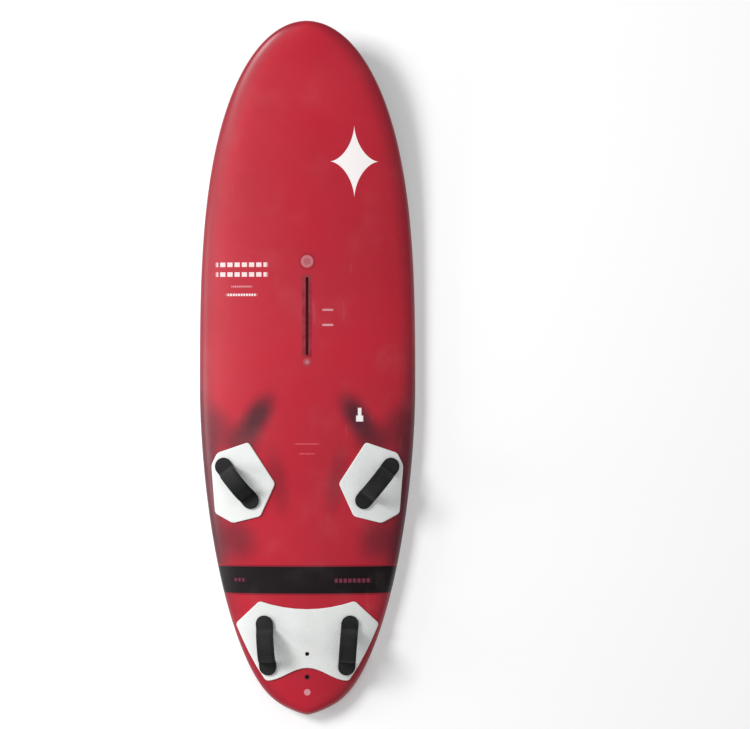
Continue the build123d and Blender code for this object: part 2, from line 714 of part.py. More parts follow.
def rear_pad(layer):
    """One wide pad under both rear straps, whose sides follow the rails."""
    middle = LENGTH / 2
    horn_gap, horn_s = REAR_PAD_HORN
    horn_x = half_width(horn_s) - horn_gap
    rail = []
    for i in range(RAIL_POINTS):
        t = i / (RAIL_POINTS - 1)
        s = REAR_PAD_CORNER + (REAR_PAD_HEEL - REAR_PAD_CORNER) * t
        margin = RAIL_MARGIN_FRONT + (RAIL_MARGIN_REAR - RAIL_MARGIN_FRONT) * t
        rail.append((half_width(s) - margin, s - middle))
    sides = []
    for sign in (1, -1):
        points = [(sign * x, y) for x, y in rail]
        sides += [Line((sign * horn_x, horn_s - middle), points[0]), Spline(*points)]
    front = ThreePointArc((horn_x, horn_s - middle), (0, REAR_PAD_DIP - middle), (-horn_x, horn_s - middle))
    heel = rail[-1]
    notch = (0, REAR_PAD_NOTCH - middle)
    square = (-1, 0)
    rear = Spline((heel[0], heel[1]), notch, (-heel[0], heel[1]), tangents=[square, square])
    face = make_face(sides + [front, rear])
    face = fillet(face.vertices(), PAD_CORNER)
    prism = Pos(0, 0, RAIL_HEIGHT) * extrude(face, REACH)
    pad = (layer & prism) - strap_windows("rear", "left") - strap_windows("rear", "right")
    return pad - [upright_rod(BOLT_HEAD_HOLE, s, 0, REACH) for s in bolt_places()]


# ---- All the pieces ----------------------------------------------------------------------------
def all_parts():
    """Every node's name and shape."""
    parts = hull_pieces()
    parts["mast_track"] = mast_track()
    parts["fin_box"] = fin_box()
    parts["fin_bolt_cups"] = fin_bolt_cups()
    parts["vent_insert"] = vent_insert()
    parts["vent_screw"] = vent_screw()
    parts["vent_o_ring"] = vent_o_ring()
    layer = pad_layer()
    parts["rear_pad"] = rear_pad(layer)
    for side in SIDES:
        parts[f"front_{side}_pad"] = front_pad(side, layer)
    for end in ("front", "rear"):
        for side in SIDES:
            name = f"{end}_{side}"
            parts[f"{name}_plugs"] = strap_plugs(end, side)
            parts[f"{name}_strap_plates"] = strap_plates(end, side)
            parts[f"{name}_strap_webbing"] = strap_webbing(end, side)
            parts[f"{name}_strap_screws"] = strap_screws(end, side)
            parts[f"{name}_strap_cover"] = strap_cover(end, side)
    return parts


def save_parts():
    """Write one STEP file for each node."""
    os.makedirs("parts", exist_ok=True)
    for name, shape in all_parts().items():
        whole = Compound(shape) if isinstance(shape, list) else shape
        solids = whole.solids()
        body = solids[0] if len(solids) == 1 else Compound(solids)
        export_step(body, f"parts/{name}.step")
        print(f"{name}: {len(solids)} solid(s), {whole.volume / 1000:.1f} cm3")


save_parts()
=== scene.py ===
"""A slalom windsurf board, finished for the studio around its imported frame.

The skins, deck pads and strap covers are modelled here. The fittings and the pieces inside the
hull stay as the frame has them, and get their finishes. Everything is in metres: X points to the
right-hand rail, Y to the nose and Z up, and s is measured from the tail end forward.
"""
import logging
import math
from collections.abc import Callable, Sequence
from dataclasses import dataclass, field
from enum import Enum

import bmesh
import bpy
from mathutils import Matrix, Vector


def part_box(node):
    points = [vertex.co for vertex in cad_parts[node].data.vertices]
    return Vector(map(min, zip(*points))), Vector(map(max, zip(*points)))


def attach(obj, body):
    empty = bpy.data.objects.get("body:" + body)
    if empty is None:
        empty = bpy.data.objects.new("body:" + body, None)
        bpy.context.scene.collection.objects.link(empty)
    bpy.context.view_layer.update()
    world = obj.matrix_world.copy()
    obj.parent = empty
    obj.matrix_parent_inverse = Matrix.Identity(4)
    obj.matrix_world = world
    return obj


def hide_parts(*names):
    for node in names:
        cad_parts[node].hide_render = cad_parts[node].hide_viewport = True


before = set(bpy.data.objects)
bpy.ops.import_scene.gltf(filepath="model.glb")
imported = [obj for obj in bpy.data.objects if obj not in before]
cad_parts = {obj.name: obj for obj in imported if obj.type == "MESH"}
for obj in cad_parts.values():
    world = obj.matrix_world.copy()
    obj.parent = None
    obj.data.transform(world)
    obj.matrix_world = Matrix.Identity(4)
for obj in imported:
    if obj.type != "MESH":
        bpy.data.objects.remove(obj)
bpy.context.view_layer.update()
BODY = "board"
log = logging.getLogger("windsurf_board")


# ---- Choices ---------------------------------------------------------------------------------
class Side(Enum):
    """The two sides of the board, by the sign of X."""

    LEFT = -1
    RIGHT = 1


class End(Enum):
    """Which pair of footstraps."""

    FRONT = "front"
    REAR = "rear"


class Cut(Enum):
    """What a tool does to a piece."""

    REMOVE = "DIFFERENCE"
    KEEP_INSIDE = "INTERSECT"


class MarkShape(Enum):
    """Shapes of the printed marks."""

    BOX = "box"
    DISC = "disc"
    STAR = "star"


# ---- The hull's shape ------------------------------------------------------------------------
@dataclass(frozen=True)
class HullForm:
    """Outline, side view and cross sections of the board."""

    length: float = 2.350
    width: float = 0.735
    wide_point: float = 1.110
    nose_curve: tuple[float, float] = (3.0, 2.0)
    tail_curve: tuple[float, float] = (1.76, 2.24)
    tail_pinch: float = 0.59
    tail_pinch_run: float = 0.020
    depth: float = 0.118
    deep_point: float = 0.950
    tail_depth: float = 0.072
    nose_depth: float = 0.058
    depth_fade: float = 2.3
    nose_rocker: float = 0.150
    rocker_start: float = 1.150
    rocker_power: float = 2.4
    rail_height: float = 0.032
    tail_tuck: float = 0.008
    nose_tuck: float = 0.034
    tail_round: float = 0.012
    nose_round: float = 0.025
    rail_fullness: float = 0.85
    crown_fullness: float = 0.75
    quarter_round: float = 0.5523
    tip: float = 0.0003
    flat_share: float = 0.72
    halvings: int = 30

    def half_width(self, s: float) -> float:
        """Half of the outline's width at s."""
        if s >= self.wide_point:
            power, root = self.nose_curve
            run = (s - self.wide_point) / (self.length - self.wide_point)
            return self.width / 2 * max(0.0, 1 - run**power) ** (1 / root)
        power, root = self.tail_curve
        run = (self.wide_point - s) / self.wide_point
        pinch = 1 - self.tail_pinch * math.exp(-s / self.tail_pinch_run)
        return self.width / 2 * pinch * max(0.0, 1 - run**power) ** (1 / root)

    def thickness(self, s: float) -> float:
        """Thickness of the board at s, before its ends are rounded."""
        ahead = s >= self.deep_point
        thin = self.nose_depth if ahead else self.tail_depth
        run = self.length - self.deep_point if ahead else self.deep_point
        return self.depth - (self.depth - thin) * (abs(s - self.deep_point) / run) ** self.depth_fade

    def rail_line(self, s: float) -> float:
        """Height of the rail's widest line at s."""
        lift = max(0.0, (s - self.rocker_start) / (self.length - self.rocker_start))
        return self.rail_height + self.nose_rocker * lift**self.rocker_power

    def section(self, s: float) -> tuple[float, float, float, float]:
        """Half-width, width of the tuck, and reach below and above the rail line at s."""
        place = min(max(s, self.tip), self.length - self.tip)
        half = self.half_width(place)
        tuck = self.tail_tuck + (self.nose_tuck - self.tail_tuck) * place / self.length
        tail_end = 1 - math.exp(-place / self.tail_round)
        nose_end = 1 - math.exp((place - self.length) / self.nose_round)
        end = math.sqrt(tail_end * nose_end)
        above = (self.thickness(place) - self.rail_height) * end
        return half, tuck * half / (tuck + half), self.rail_height * end, above

    def deck_point(self, s: float, across: float, closed: float = 1.0) -> Vector:
        """A point of the deck's cross curve.

        Args:
            s: Place along the board.
            across: -1 at the left rail, 0 on the middle line, 1 at the right rail.
            closed: 1 on the deck, 0 on the rail line, for the small flat that ends the board.
        Returns:
            The point.
        """
        half, _, _, above = self.section(s)
        t = 1 - abs(across)
        first, second, third = 3 * (1 - t) ** 2 * t, 3 * (1 - t) * t**2, t**3
        out = half * ((1 - t) ** 3 + first + second * (1 - self.crown_fullness))
        rise = above * (first * self.rail_fullness + second + third) * closed
        return Vector((math.copysign(out, across), s - self.length / 2, self.rail_line(s) + rise))

    def bottom_point(self, s: float, across: float, closed: float = 1.0) -> Vector:
        """A point of the bottom's cross curve, with the same arguments as deck_point."""
        half, tuck, below, _ = self.section(s)
        flat = half - tuck
        reach = abs(across)
        if reach <= self.flat_share:
            out, drop = flat * reach / self.flat_share, below
        else:
            t = (reach - self.flat_share) / (1 - self.flat_share)
            first, second, third = 3 * (1 - t) ** 2 * t, 3 * (1 - t) * t**2, t**3
            out = flat + tuck * (first * self.quarter_round + second + third)
            drop = below * ((1 - t) ** 3 + first + second * self.quarter_round)
        height = self.rail_line(s) - drop * closed
        return Vector((math.copysign(out, across), s - self.length / 2, height))

    def deck_height(self, x: float, s: float) -> float:
        """Height of the deck over a place in plan."""
        half = self.section(s)[0]
        low, high = 0.0, 1.0
        for _ in range(self.halvings):
            middle = (low + high) / 2
            out = half * ((1 - middle) ** 3 + 3 * (1 - middle) ** 2 * middle
                          + 3 * (1 - middle) * middle**2 * (1 - self.crown_fullness))
            low, high = (middle, high) if out > abs(x) else (low, middle)
        return self.deck_point(s, 1 - low).z

    def on_deck(self, x: float, s: float) -> Vector:
        """The deck's point over x and s."""
        return Vector((x, s - self.length / 2, self.deck_height(x, s)))

    def deck_stretch(self, x: float, s: float) -> float:
        """How much taller a layer stands upright than square to the deck, where the deck slopes."""
        step = 0.002
        rise = (self.deck_height(abs(x) + step, s) - self.deck_height(abs(x) - step, s)) / (2 * step)
        return min(1.6, math.hypot(1.0, rise))


# ---- Mesh tools ------------------------------------------------------------------------------
def to_object(bm: bmesh.types.BMesh, name: str) -> bpy.types.Object:
    """Put a finished bmesh into a new object of the scene."""
    mesh = bpy.data.meshes.new(name)
    bm.to_mesh(mesh)
    bm.free()
    piece = bpy.data.objects.new(name, mesh)
    bpy.context.scene.collection.objects.link(piece)
    return piece


def settle(piece: bpy.types.Object) -> None:
    """Replace a piece's mesh with what its modifiers make of it."""
    graph = bpy.context.evaluated_depsgraph_get()
    made = bpy.data.meshes.new_from_object(piece.evaluated_get(graph))
    piece.modifiers.clear()
    old = piece.data
    piece.data = made
    made.name = piece.name
    bpy.data.meshes.remove(old)


def carve(piece: bpy.types.Object, tool: bpy.types.Object, cut: Cut) -> None:
    """Cut a piece with a tool, which is used up.

    Args:
        piece: What is cut.
        tool: A closed shape.
        cut: Whether the tool's inside is removed or kept.
    """
    step = piece.modifiers.new("carve", "BOOLEAN")
    step.operation = cut.value
    step.solver = "EXACT"
    step.object = tool
    settle(piece)
    bpy.data.objects.remove(tool)


def smooth(piece: bpy.types.Object, angle: float = 35.0) -> None:
    """Shade a piece smooth, with sharp edges where its faces turn by more than the angle."""
    piece.data.shade_smooth()
    piece.data.set_sharp_from_angle(angle=math.radians(angle))


def dress(piece: bpy.types.Object, *finishes: bpy.types.Material) -> None:
    """Give a piece its materials, in slot order."""
    piece.data.materials.clear()
    for finish in finishes:
        piece.data.materials.append(finish)


def placed_grid(rows: int, columns: int, place: Callable[[float, float], Vector]) -> bmesh.types.BMesh:
    """A grid whose points are moved to where a function puts them.

    Args:
        rows: Faces along the piece.
        columns: Faces across it.
        place: Gives the point for a place along and across, each from 0 to 1.
    Returns:
        The grid, with its normals not yet set.
    """
    bm = bmesh.new()
    bmesh.ops.create_grid(bm, x_segments=columns, y_segments=rows, size=1.0)
    for vert in bm.verts:
        vert.co = place((vert.co.y + 1) / 2, (vert.co.x + 1) / 2)
    return bm


def rounded_block(bm: bmesh.types.BMesh, size: Vector, corner: float, place: Matrix) -> None:
    """Add a block with four rounded upright edges to a bmesh.

    Args:
        bm: Where it goes.
        size: Its width, length and height.
        corner: Radius of its upright edges.
        place: Where its middle goes.
    """
    block = bmesh.ops.create_cube(bm, size=1.0, matrix=Matrix.Diagonal((*size, 1.0)))
    upright = {edge for vert in block["verts"] for edge in vert.link_edges
               if abs(edge.verts[0].co.z - edge.verts[1].co.z) > size.z / 2}
    rounded = bmesh.ops.bevel(bm, geom=list(upright), offset=corner, segments=5, affect="EDGES",
                              profile=0.5, material=-1)
    verts = {vert for face in rounded["faces"] for vert in face.verts}
    bmesh.ops.transform(bm, matrix=place, verts=list(verts))


def round_bar(bm: bmesh.types.BMesh, radius: float, height: float, place: Matrix, sides: int = 48) -> None:
    """Add a closed round bar to a bmesh, its middle and axis given by a matrix."""
    bmesh.ops.create_cone(bm, cap_ends=True, segments=sides, radius1=radius, radius2=radius,
                          depth=height, matrix=place)


def middle_and_size(node: str) -> tuple[Vector, Vector]:
    """Middle and size of a node of the frame."""
    low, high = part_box(node)
    return (low + high) / 2, high - low


# ---- Node recipes ----------------------------------------------------------------------------
Colour = tuple[float, float, float]


def paint(red: int, green: int, blue: int) -> Colour:
    """A colour from its values on a colour card, 0 to 255."""
    return tuple((part / 255 / 12.92) if part < 11 else ((part / 255 + 0.055) / 1.055) ** 2.4
                 for part in (red, green, blue))


class Recipe:
    """The nodes of one tree, laid down in the order that they work."""

    def __init__(self, tree: bpy.types.NodeTree) -> None:
        """Start on a tree."""
        self.tree = tree

    def add(self, kind: str, **settings: object) -> bpy.types.Node:
        """Add a node and set its properties."""
        node = self.tree.nodes.new(f"ShaderNode{kind}")
        for name, value in settings.items():
            setattr(node, name, value)
        return node

    def feed(self, socket: bpy.types.NodeSocket, value: object) -> None:
        """Link a socket to another, or set it to a plain value."""
        if isinstance(value, bpy.types.NodeSocket):
            self.tree.links.new(value, socket)
        elif isinstance(value, tuple) and len(value) == 3 and socket.type == "RGBA":
            socket.default_value = (*value, 1.0)
        else:
            socket.default_value = value

    def maths(self, operation: str, *values: object, clamp: bool = False) -> bpy.types.NodeSocket:
        """Do one sum on sockets and numbers."""
        node = self.add("Math", operation=operation, use_clamp=clamp)
        for socket, value in zip(node.inputs, values):
            self.feed(socket, value)
        return node.outputs[0]

    def ramp(self, value: object, start: float, end: float, low: float = 0.0, high: float = 1.0,
             eased: bool = True) -> bpy.types.NodeSocket:
        """Turn the range from start to end into the range from low to high."""
        node = self.add("MapRange", interpolation_type="SMOOTHSTEP" if eased else "LINEAR")
        for name, given in (("Value", value), ("From Min", start), ("From Max", end),
                            ("To Min", low), ("To Max", high)):
            self.feed(node.inputs[name], given)
        return node.outputs["Result"]

    def blend(self, share: object, first: object, second: object) -> bpy.types.NodeSocket:
        """Mix two colours."""
        node = self.add("Mix", data_type="RGBA")
        self.feed(node.inputs[0], share)
        self.feed(node.inputs[6], first)
        self.feed(node.inputs[7], second)
        return node.outputs[2]

    def noise(self, place: object, scale: float, detail: float = 3.0, rough: float = 0.55,
              stretch: tuple[float, float, float] | None = None) -> bpy.types.NodeSocket:
        """Cloudy noise over a place, with an optional stretch of the pattern."""
        if stretch is not None:
            mapping = self.add("Mapping")
            self.feed(mapping.inputs["Vector"], place)
            mapping.inputs["Scale"].default_value = stretch
            place = mapping.outputs["Vector"]
        node = self.add("TexNoise")
        self.feed(node.inputs["Vector"], place)
        node.inputs["Scale"].default_value = scale
        node.inputs["Detail"].default_value = detail
        node.inputs["Roughness"].default_value = rough
        return node.outputs["Fac"]

    def local(self, place: object, centre: tuple[float, float], half: tuple[float, float],
              angle: float = 0.0) -> bpy.types.NodeSocket:
        """A place in plan, measured from a centre in half sizes, turned by an angle in degrees."""
        mapping = self.add("Mapping", vector_type="TEXTURE")
        self.feed(mapping.inputs["Vector"], place)
        mapping.inputs["Location"].default_value = (*centre, 0.0)
        mapping.inputs["Rotation"].default_value = (0.0, 0.0, math.radians(angle))
        mapping.inputs["Scale"].default_value = (*half, 1.0)
        return mapping.outputs["Vector"]

    def parts(self, vector: object) -> tuple[bpy.types.NodeSocket, bpy.types.NodeSocket]:
        """The X and Y of a vector."""
        node = self.add("SeparateXYZ")
        self.feed(node.inputs[0], vector)
        return node.outputs[0], node.outputs[1]

    def group(self, tree: bpy.types.NodeTree, **values: object) -> bpy.types.Node:
        """Place a shared effect, with its own values."""
        node = self.add("Group", node_tree=tree)
        for name, value in values.items():
            self.feed(node.inputs[name.replace("_", " ")], value)
        return node


class Surface(Recipe):
    """The recipe of one material round its Principled shader."""

    def __init__(self, name: str) -> None:
        """Start a material that reads Object coordinates."""
        self.material = bpy.data.materials.new(name)
        self.material.use_nodes = True
        super().__init__(self.material.node_tree)
        self.shader = self.tree.nodes["Principled BSDF"]
        self.place = self.add("TexCoord").outputs["Object"]

    def set(self, **values: object) -> None:
        """Set or link the shader's own sockets by name."""
        for name, value in values.items():
            self.feed(self.shader.inputs[name.replace("_", " ")], value)

    def relief(self, height: object, depth: float) -> None:
        """Feed the shader's normal with a relief of the given depth in metres."""
        below = self.shader.inputs["Normal"]
        earlier = below.links[0].from_socket if below.links else None
        bump = self.add("Bump")
        bump.inputs["Distance"].default_value = depth
        self.feed(bump.inputs["Height"], height)
        if earlier is not None:
            self.feed(bump.inputs["Normal"], earlier)
        self.feed(below, bump.outputs["Normal"])

    def attribute(self, name: str) -> bpy.types.NodeSocket:
        """A number that is stored over the piece's points."""
        return self.add("Attribute", attribute_name=name).outputs["Fac"]


def effect(name: str, inputs: dict[str, float], outputs: Sequence[str]) -> tuple[Recipe, dict, dict]:
    """Start a shared effect with a Place input.

    Args:
        name: Name of the node group.
        inputs: Its numbers and their usual values.
        outputs: Names of what it gives.
    Returns:
        The recipe, its input sockets by name, and its output sockets by name.
    """
    tree = bpy.data.node_groups.new(name, "ShaderNodeTree")
    tree.interface.new_socket("Place", in_out="INPUT", socket_type="NodeSocketVector")
    for label, usual in inputs.items():
        tree.interface.new_socket(label, in_out="INPUT", socket_type="NodeSocketFloat").default_value = usual
    for label in outputs:
        tree.interface.new_socket(label, in_out="OUTPUT", socket_type="NodeSocketFloat")
    recipe = Recipe(tree)
    source = tree.nodes.new("NodeGroupInput")
    sink = tree.nodes.new("NodeGroupOutput")
    return recipe, dict(source.outputs.items()), dict(sink.inputs.items())


class SharedEffects:
    """Node groups that several finishes use, each built once."""

    def __init__(self) -> None:
        """Build them all."""
        self.grain = self._grain()
        self.wear = self._wear()
        self.weave = self._weave()

    @staticmethod
    def _grain() -> bpy.types.NodeTree:
        """Fine moulded or sanded grain, with a softer cloud under it."""
        recipe, source, sink = effect("fine_grain", {"Scale": 900.0, "Cloud": 12.0}, ("Height", "Mottle"))
        fine = recipe.add("TexNoise")
        recipe.feed(fine.inputs["Vector"], source["Place"])
        recipe.feed(fine.inputs["Scale"], source["Scale"])
        fine.inputs["Detail"].default_value = 2.0
        cloud = recipe.add("TexNoise")
        recipe.feed(cloud.inputs["Vector"], source["Place"])
        recipe.feed(cloud.inputs["Scale"], source["Cloud"])
        recipe.feed(sink["Height"], fine.outputs["Fac"])
        recipe.feed(sink["Mottle"], recipe.ramp(cloud.outputs["Fac"], 0.3, 0.7))
        return recipe.tree

    @staticmethod
    def _wear() -> bpy.types.NodeTree:
        """Dust in the clouds and thin scuffs along the board."""
        recipe, source, sink = effect("light_wear", {"Dust": 0.3, "Scuffs": 0.3}, ("Dust", "Scuffs"))
        cloud = recipe.noise(source["Place"], 7.0, detail=5.0)
        dust = recipe.ramp(cloud, 0.5, 0.8)
        recipe.feed(sink["Dust"], recipe.maths("MULTIPLY", dust, source["Dust"]))
        lines = recipe.noise(source["Place"], 60.0, detail=2.0, stretch=(1.0, 0.12, 1.0))
        patch = recipe.ramp(recipe.noise(source["Place"], 3.5), 0.52, 0.7)
        scuffs = recipe.maths("MULTIPLY", recipe.ramp(lines, 0.66, 0.72), patch)
        recipe.feed(sink["Scuffs"], recipe.maths("MULTIPLY", scuffs, source["Scuffs"]))
        return recipe.tree

    @staticmethod
    def _weave() -> bpy.types.NodeTree:
        """Two crossed sets of threads, over and under, a pitch apart."""
        recipe, source, sink = effect("crossed_weave", {"Pitch": 0.002, "Slant": 1.0}, ("Height", "Over"))
        x, y = recipe.parts(source["Place"])
        warp = recipe.maths("DIVIDE", x, source["Pitch"])
        weft = recipe.maths("DIVIDE", y, source["Pitch"])
        bands = recipe.maths("ADD", warp, recipe.maths("MULTIPLY", weft, source["Slant"]))
        over = recipe.ramp(recipe.maths("SINE", recipe.maths("MULTIPLY", bands, math.pi)), -0.35, 0.35)
        turns = 2 * math.pi
        across = recipe.maths("ABSOLUTE", recipe.maths("SINE", recipe.maths("MULTIPLY", warp, turns)))
        along = recipe.maths("ABSOLUTE", recipe.maths("SINE", recipe.maths("MULTIPLY", weft, turns)))
        first = recipe.maths("MULTIPLY", across, over)
        rest = recipe.maths("SUBTRACT", 1.0, over)
        second = recipe.maths("MULTIPLY", along, rest)
        recipe.feed(sink["Height"], recipe.maths("ADD", first, second))
        recipe.feed(sink["Over"], over)
        return recipe.tree


# ---- Finishes --------------------------------------------------------------------------------
@dataclass(frozen=True)
class Mark:
    """One printed mark in plan: its shape, centre, half sizes, colour and share of cover."""

    shape: MarkShape
    centre: tuple[float, float]
    half: tuple[float, float]
    colour: Colour
    cover: float = 1.0
    pitch: float = 0.0
    duty: float = 0.6

    def mask(self, recipe: Surface) -> bpy.types.NodeSocket:
        """The mark's mask over the surface, cut into dashes where it has a pitch."""
        place = recipe.local(recipe.place, self.centre, self.half)
        x, y = recipe.parts(place)
        x, y = recipe.maths("ABSOLUTE", x), recipe.maths("ABSOLUTE", y)
        edge = 0.0004 / min(self.half)
        if self.shape is MarkShape.BOX:
            reach = recipe.maths("MAXIMUM", x, y)
        elif self.shape is MarkShape.DISC:
            reach = recipe.maths("SQRT", recipe.maths("ADD", recipe.maths("MULTIPLY", x, x),
                                                      recipe.maths("MULTIPLY", y, y)))
        else:
            bow = 0.62
            reach = recipe.maths("ADD", recipe.maths("POWER", x, bow), recipe.maths("POWER", y, bow))
        mask = recipe.ramp(reach, 1 - edge, 1 + edge, 1.0, 0.0, eased=False)
        if self.pitch:
            along = recipe.parts(recipe.place)[0]
            beat = recipe.maths("FRACT", recipe.maths("DIVIDE", along, self.pitch))
            mask = recipe.maths("MULTIPLY", mask, recipe.maths("LESS_THAN", beat, self.duty))
        return recipe.maths("MULTIPLY", mask, self.cover)


@dataclass(frozen=True)
class Smudge:
    """A soft dark cloud in plan, for airbrushed print and for painted shade along the rails."""

    centre: tuple[float, float]
    radii: tuple[float, float]
    angle: float
    cover: float

    def mask(self, recipe: Surface) -> bpy.types.NodeSocket:
        """The cloud's mask, strongest in its middle."""
        place = recipe.local(recipe.place, self.centre, self.radii, self.angle)
        length = recipe.add("VectorMath", operation="LENGTH")
        flat = recipe.add("VectorMath", operation="MULTIPLY")
        recipe.feed(flat.inputs[0], place)
        flat.inputs[1].default_value = (1.0, 1.0, 0.0)
        recipe.feed(length.inputs[0], flat.outputs[0])
        return recipe.ramp(length.outputs["Value"], 0.15, 1.0, self.cover, 0.0)


WHITE_PRINT = paint(238, 232, 232)
PALE_PRINT = paint(206, 150, 158)
FAINT_PRINT = paint(214, 92, 106)
BAND_PRINT = paint(118, 44, 66)


@dataclass(frozen=True)
class DeckPaint:
    """Red lacquer with dark airbrushed clouds, darkening towards the rails that is partly painted shade, a
    black band and small pale prints.
    """

    hull: HullForm
    red: Colour = paint(181, 27, 47)
    deep_red: Colour = paint(136, 20, 38)
    # Colour of the airbrushed clouds, and of the painted shade along the rails.
    airbrush_and_shade: Colour = paint(72, 26, 38)
    black: Colour = paint(27, 17, 20)
    band: tuple[float, float] = (0.418, 0.509)

    def at(self, x: float, s: float) -> tuple[float, float]:
        """A place in plan from x and s."""
        return x, s - self.hull.length / 2

    def smudges(self) -> list[Smudge]:
        """The dark clouds, the same on both sides: airbrushed print round the pads, and the two long clouds
        beside the rails at x 0.330 partly painted shade of the rails.
        """
        clouds = []
        for side in Side:
            sign = side.value
            for x, s, wide, long, angle, cover in (
                    (0.168, 1.020, 0.064, 0.125, -33, 0.92), (0.215, 0.945, 0.080, 0.105, -36, 0.70),
                    (0.300, 0.975, 0.075, 0.130, 25, 0.50), (0.330, 0.800, 0.060, 0.330, 0, 0.70),
                    (0.100, 0.800, 0.050, 0.160, 10, 0.35), (0.245, 0.600, 0.100, 0.120, 30, 0.60),
                    (0.330, 0.570, 0.090, 0.170, 0, 0.55)):
                clouds.append(Smudge(self.at(sign * x, s), (wide, long), -sign * angle, cover))
        return clouds

    def marks(self) -> list[Mark]:
        """The band and the prints, each over the one before."""
        low, high = self.band
        middle, half = (low + high) / 2, (high - low) / 2
        wide = self.hull.width
        marks = [
            Mark(MarkShape.BOX, self.at(0, middle), (wide, half + 0.006), self.deep_red),
            Mark(MarkShape.BOX, self.at(0, middle), (wide, half), self.black),
            Mark(MarkShape.BOX, self.at(0.155, middle - 0.002), (0.062, 0.007), BAND_PRINT, 0.9,
                 0.0155, 0.7),
            Mark(MarkShape.BOX, self.at(-0.228, middle), (0.020, 0.006), BAND_PRINT, 0.8, 0.013, 0.6),
            Mark(MarkShape.STAR, self.at(0.160, 1.880), (0.082, 0.122), WHITE_PRINT),
            Mark(MarkShape.STAR, self.at(0.160, 1.880), (0.046, 0.046), WHITE_PRINT),
            Mark(MarkShape.BOX, self.at(-0.222, 1.532), (0.086, 0.0075), WHITE_PRINT, 0.75, 0.0246, 0.72),
            Mark(MarkShape.BOX, self.at(-0.222, 1.499), (0.086, 0.0075), WHITE_PRINT, 0.75, 0.0246, 0.72),
            Mark(MarkShape.BOX, self.at(-0.222, 1.458), (0.034, 0.003), PALE_PRINT, 0.8, 0.007, 0.7),
            Mark(MarkShape.BOX, self.at(-0.222, 1.430), (0.050, 0.004), WHITE_PRINT, 0.8, 0.009, 0.7),
            Mark(MarkShape.DISC, self.at(0, 1.543), (0.030, 0.030), self.deep_red, 0.45),
            Mark(MarkShape.DISC, self.at(0, 1.543), (0.021, 0.021), PALE_PRINT, 0.45),
            Mark(MarkShape.DISC, self.at(0, 1.543), (0.012, 0.012), self.deep_red, 0.35),
            Mark(MarkShape.BOX, self.at(0.070, 1.379), (0.018, 0.0035), PALE_PRINT, 0.75),
            Mark(MarkShape.BOX, self.at(0.070, 1.328), (0.018, 0.0035), PALE_PRINT, 0.9),
            Mark(MarkShape.BOX, self.at(0, 0.925), (0.040, 0.0025), FAINT_PRINT, 0.7, 0.008, 0.7),
            Mark(MarkShape.BOX, self.at(0, 0.892), (0.026, 0.0025), FAINT_PRINT, 0.7, 0.008, 0.7),
            Mark(MarkShape.BOX, self.at(0.178, 1.025), (0.006, 0.022), WHITE_PRINT, 0.95),
            Mark(MarkShape.BOX, self.at(0.178, 1.011), (0.012, 0.010), WHITE_PRINT, 0.95),
            Mark(MarkShape.DISC, self.at(0, 0.081), (0.011, 0.011), PALE_PRINT, 0.8),
        ]
        return marks

    def build(self, shared: SharedEffects) -> bpy.types.Material:
        """Build the material."""
        recipe = Surface("deck_paint")
        rail = recipe.attribute("rail_gap")
        cloud = recipe.noise(recipe.place, 2.2, detail=4.0)
        colour = recipe.blend(recipe.ramp(cloud, 0.3, 0.75), self.red, paint(171, 25, 44))
        # Darkening within 85 mm of both rails, stronger between s 0.32 and 1.30: partly dark airbrush,
        # partly painted shade of the deck falling away to the rails.
        along = recipe.parts(recipe.place)[1]
        rise = recipe.ramp(along, self.at(0, 0.32)[1], self.at(0, 0.60)[1])
        fall = recipe.ramp(along, self.at(0, 1.00)[1], self.at(0, 1.30)[1], 1.0, 0.0)
        abreast = recipe.maths("MULTIPLY", recipe.maths("MULTIPLY", rise, fall), 0.38)
        airbrush_and_shade_strength = recipe.maths("ADD", 0.52, abreast)
        edge = recipe.maths("MULTIPLY", recipe.ramp(rail, 0.0, 0.085, 1.0, 0.0), airbrush_and_shade_strength)
        colour = recipe.blend(edge, colour, self.airbrush_and_shade)
        # Dark clouds: airbrushed print, and beside the rails partly painted shade.
        for smudge in self.smudges():
            colour = recipe.blend(smudge.mask(recipe), colour, self.airbrush_and_shade)
        for mark in self.marks():
            colour = recipe.blend(mark.mask(recipe), colour, mark.colour)
        wear = recipe.group(shared.wear, Place=recipe.place, Dust=0.03, Scuffs=0.05)
        colour = recipe.blend(wear.outputs["Scuffs"], colour, paint(214, 150, 156))
        colour = recipe.blend(wear.outputs["Dust"], colour, paint(200, 180, 176))
        grain = recipe.group(shared.grain, Place=recipe.place, Scale=1400.0, Cloud=5.0)
        rough = recipe.ramp(grain.outputs["Mottle"], 0.0, 1.0, 0.34, 0.46, eased=False)
        rough = recipe.maths("ADD", rough, recipe.maths("MULTIPLY", wear.outputs["Scuffs"], 0.4))
        recipe.set(Base_Color=colour, Roughness=rough, Coat_Weight=0.12, Coat_Roughness=0.22,
                   Specular_IOR_Level=0.3)
        grit = recipe.maths("MULTIPLY", grain.outputs["Height"], recipe.ramp(rail, 0.02, 0.06))
        recipe.relief(grit, 0.00035)
        return recipe.material


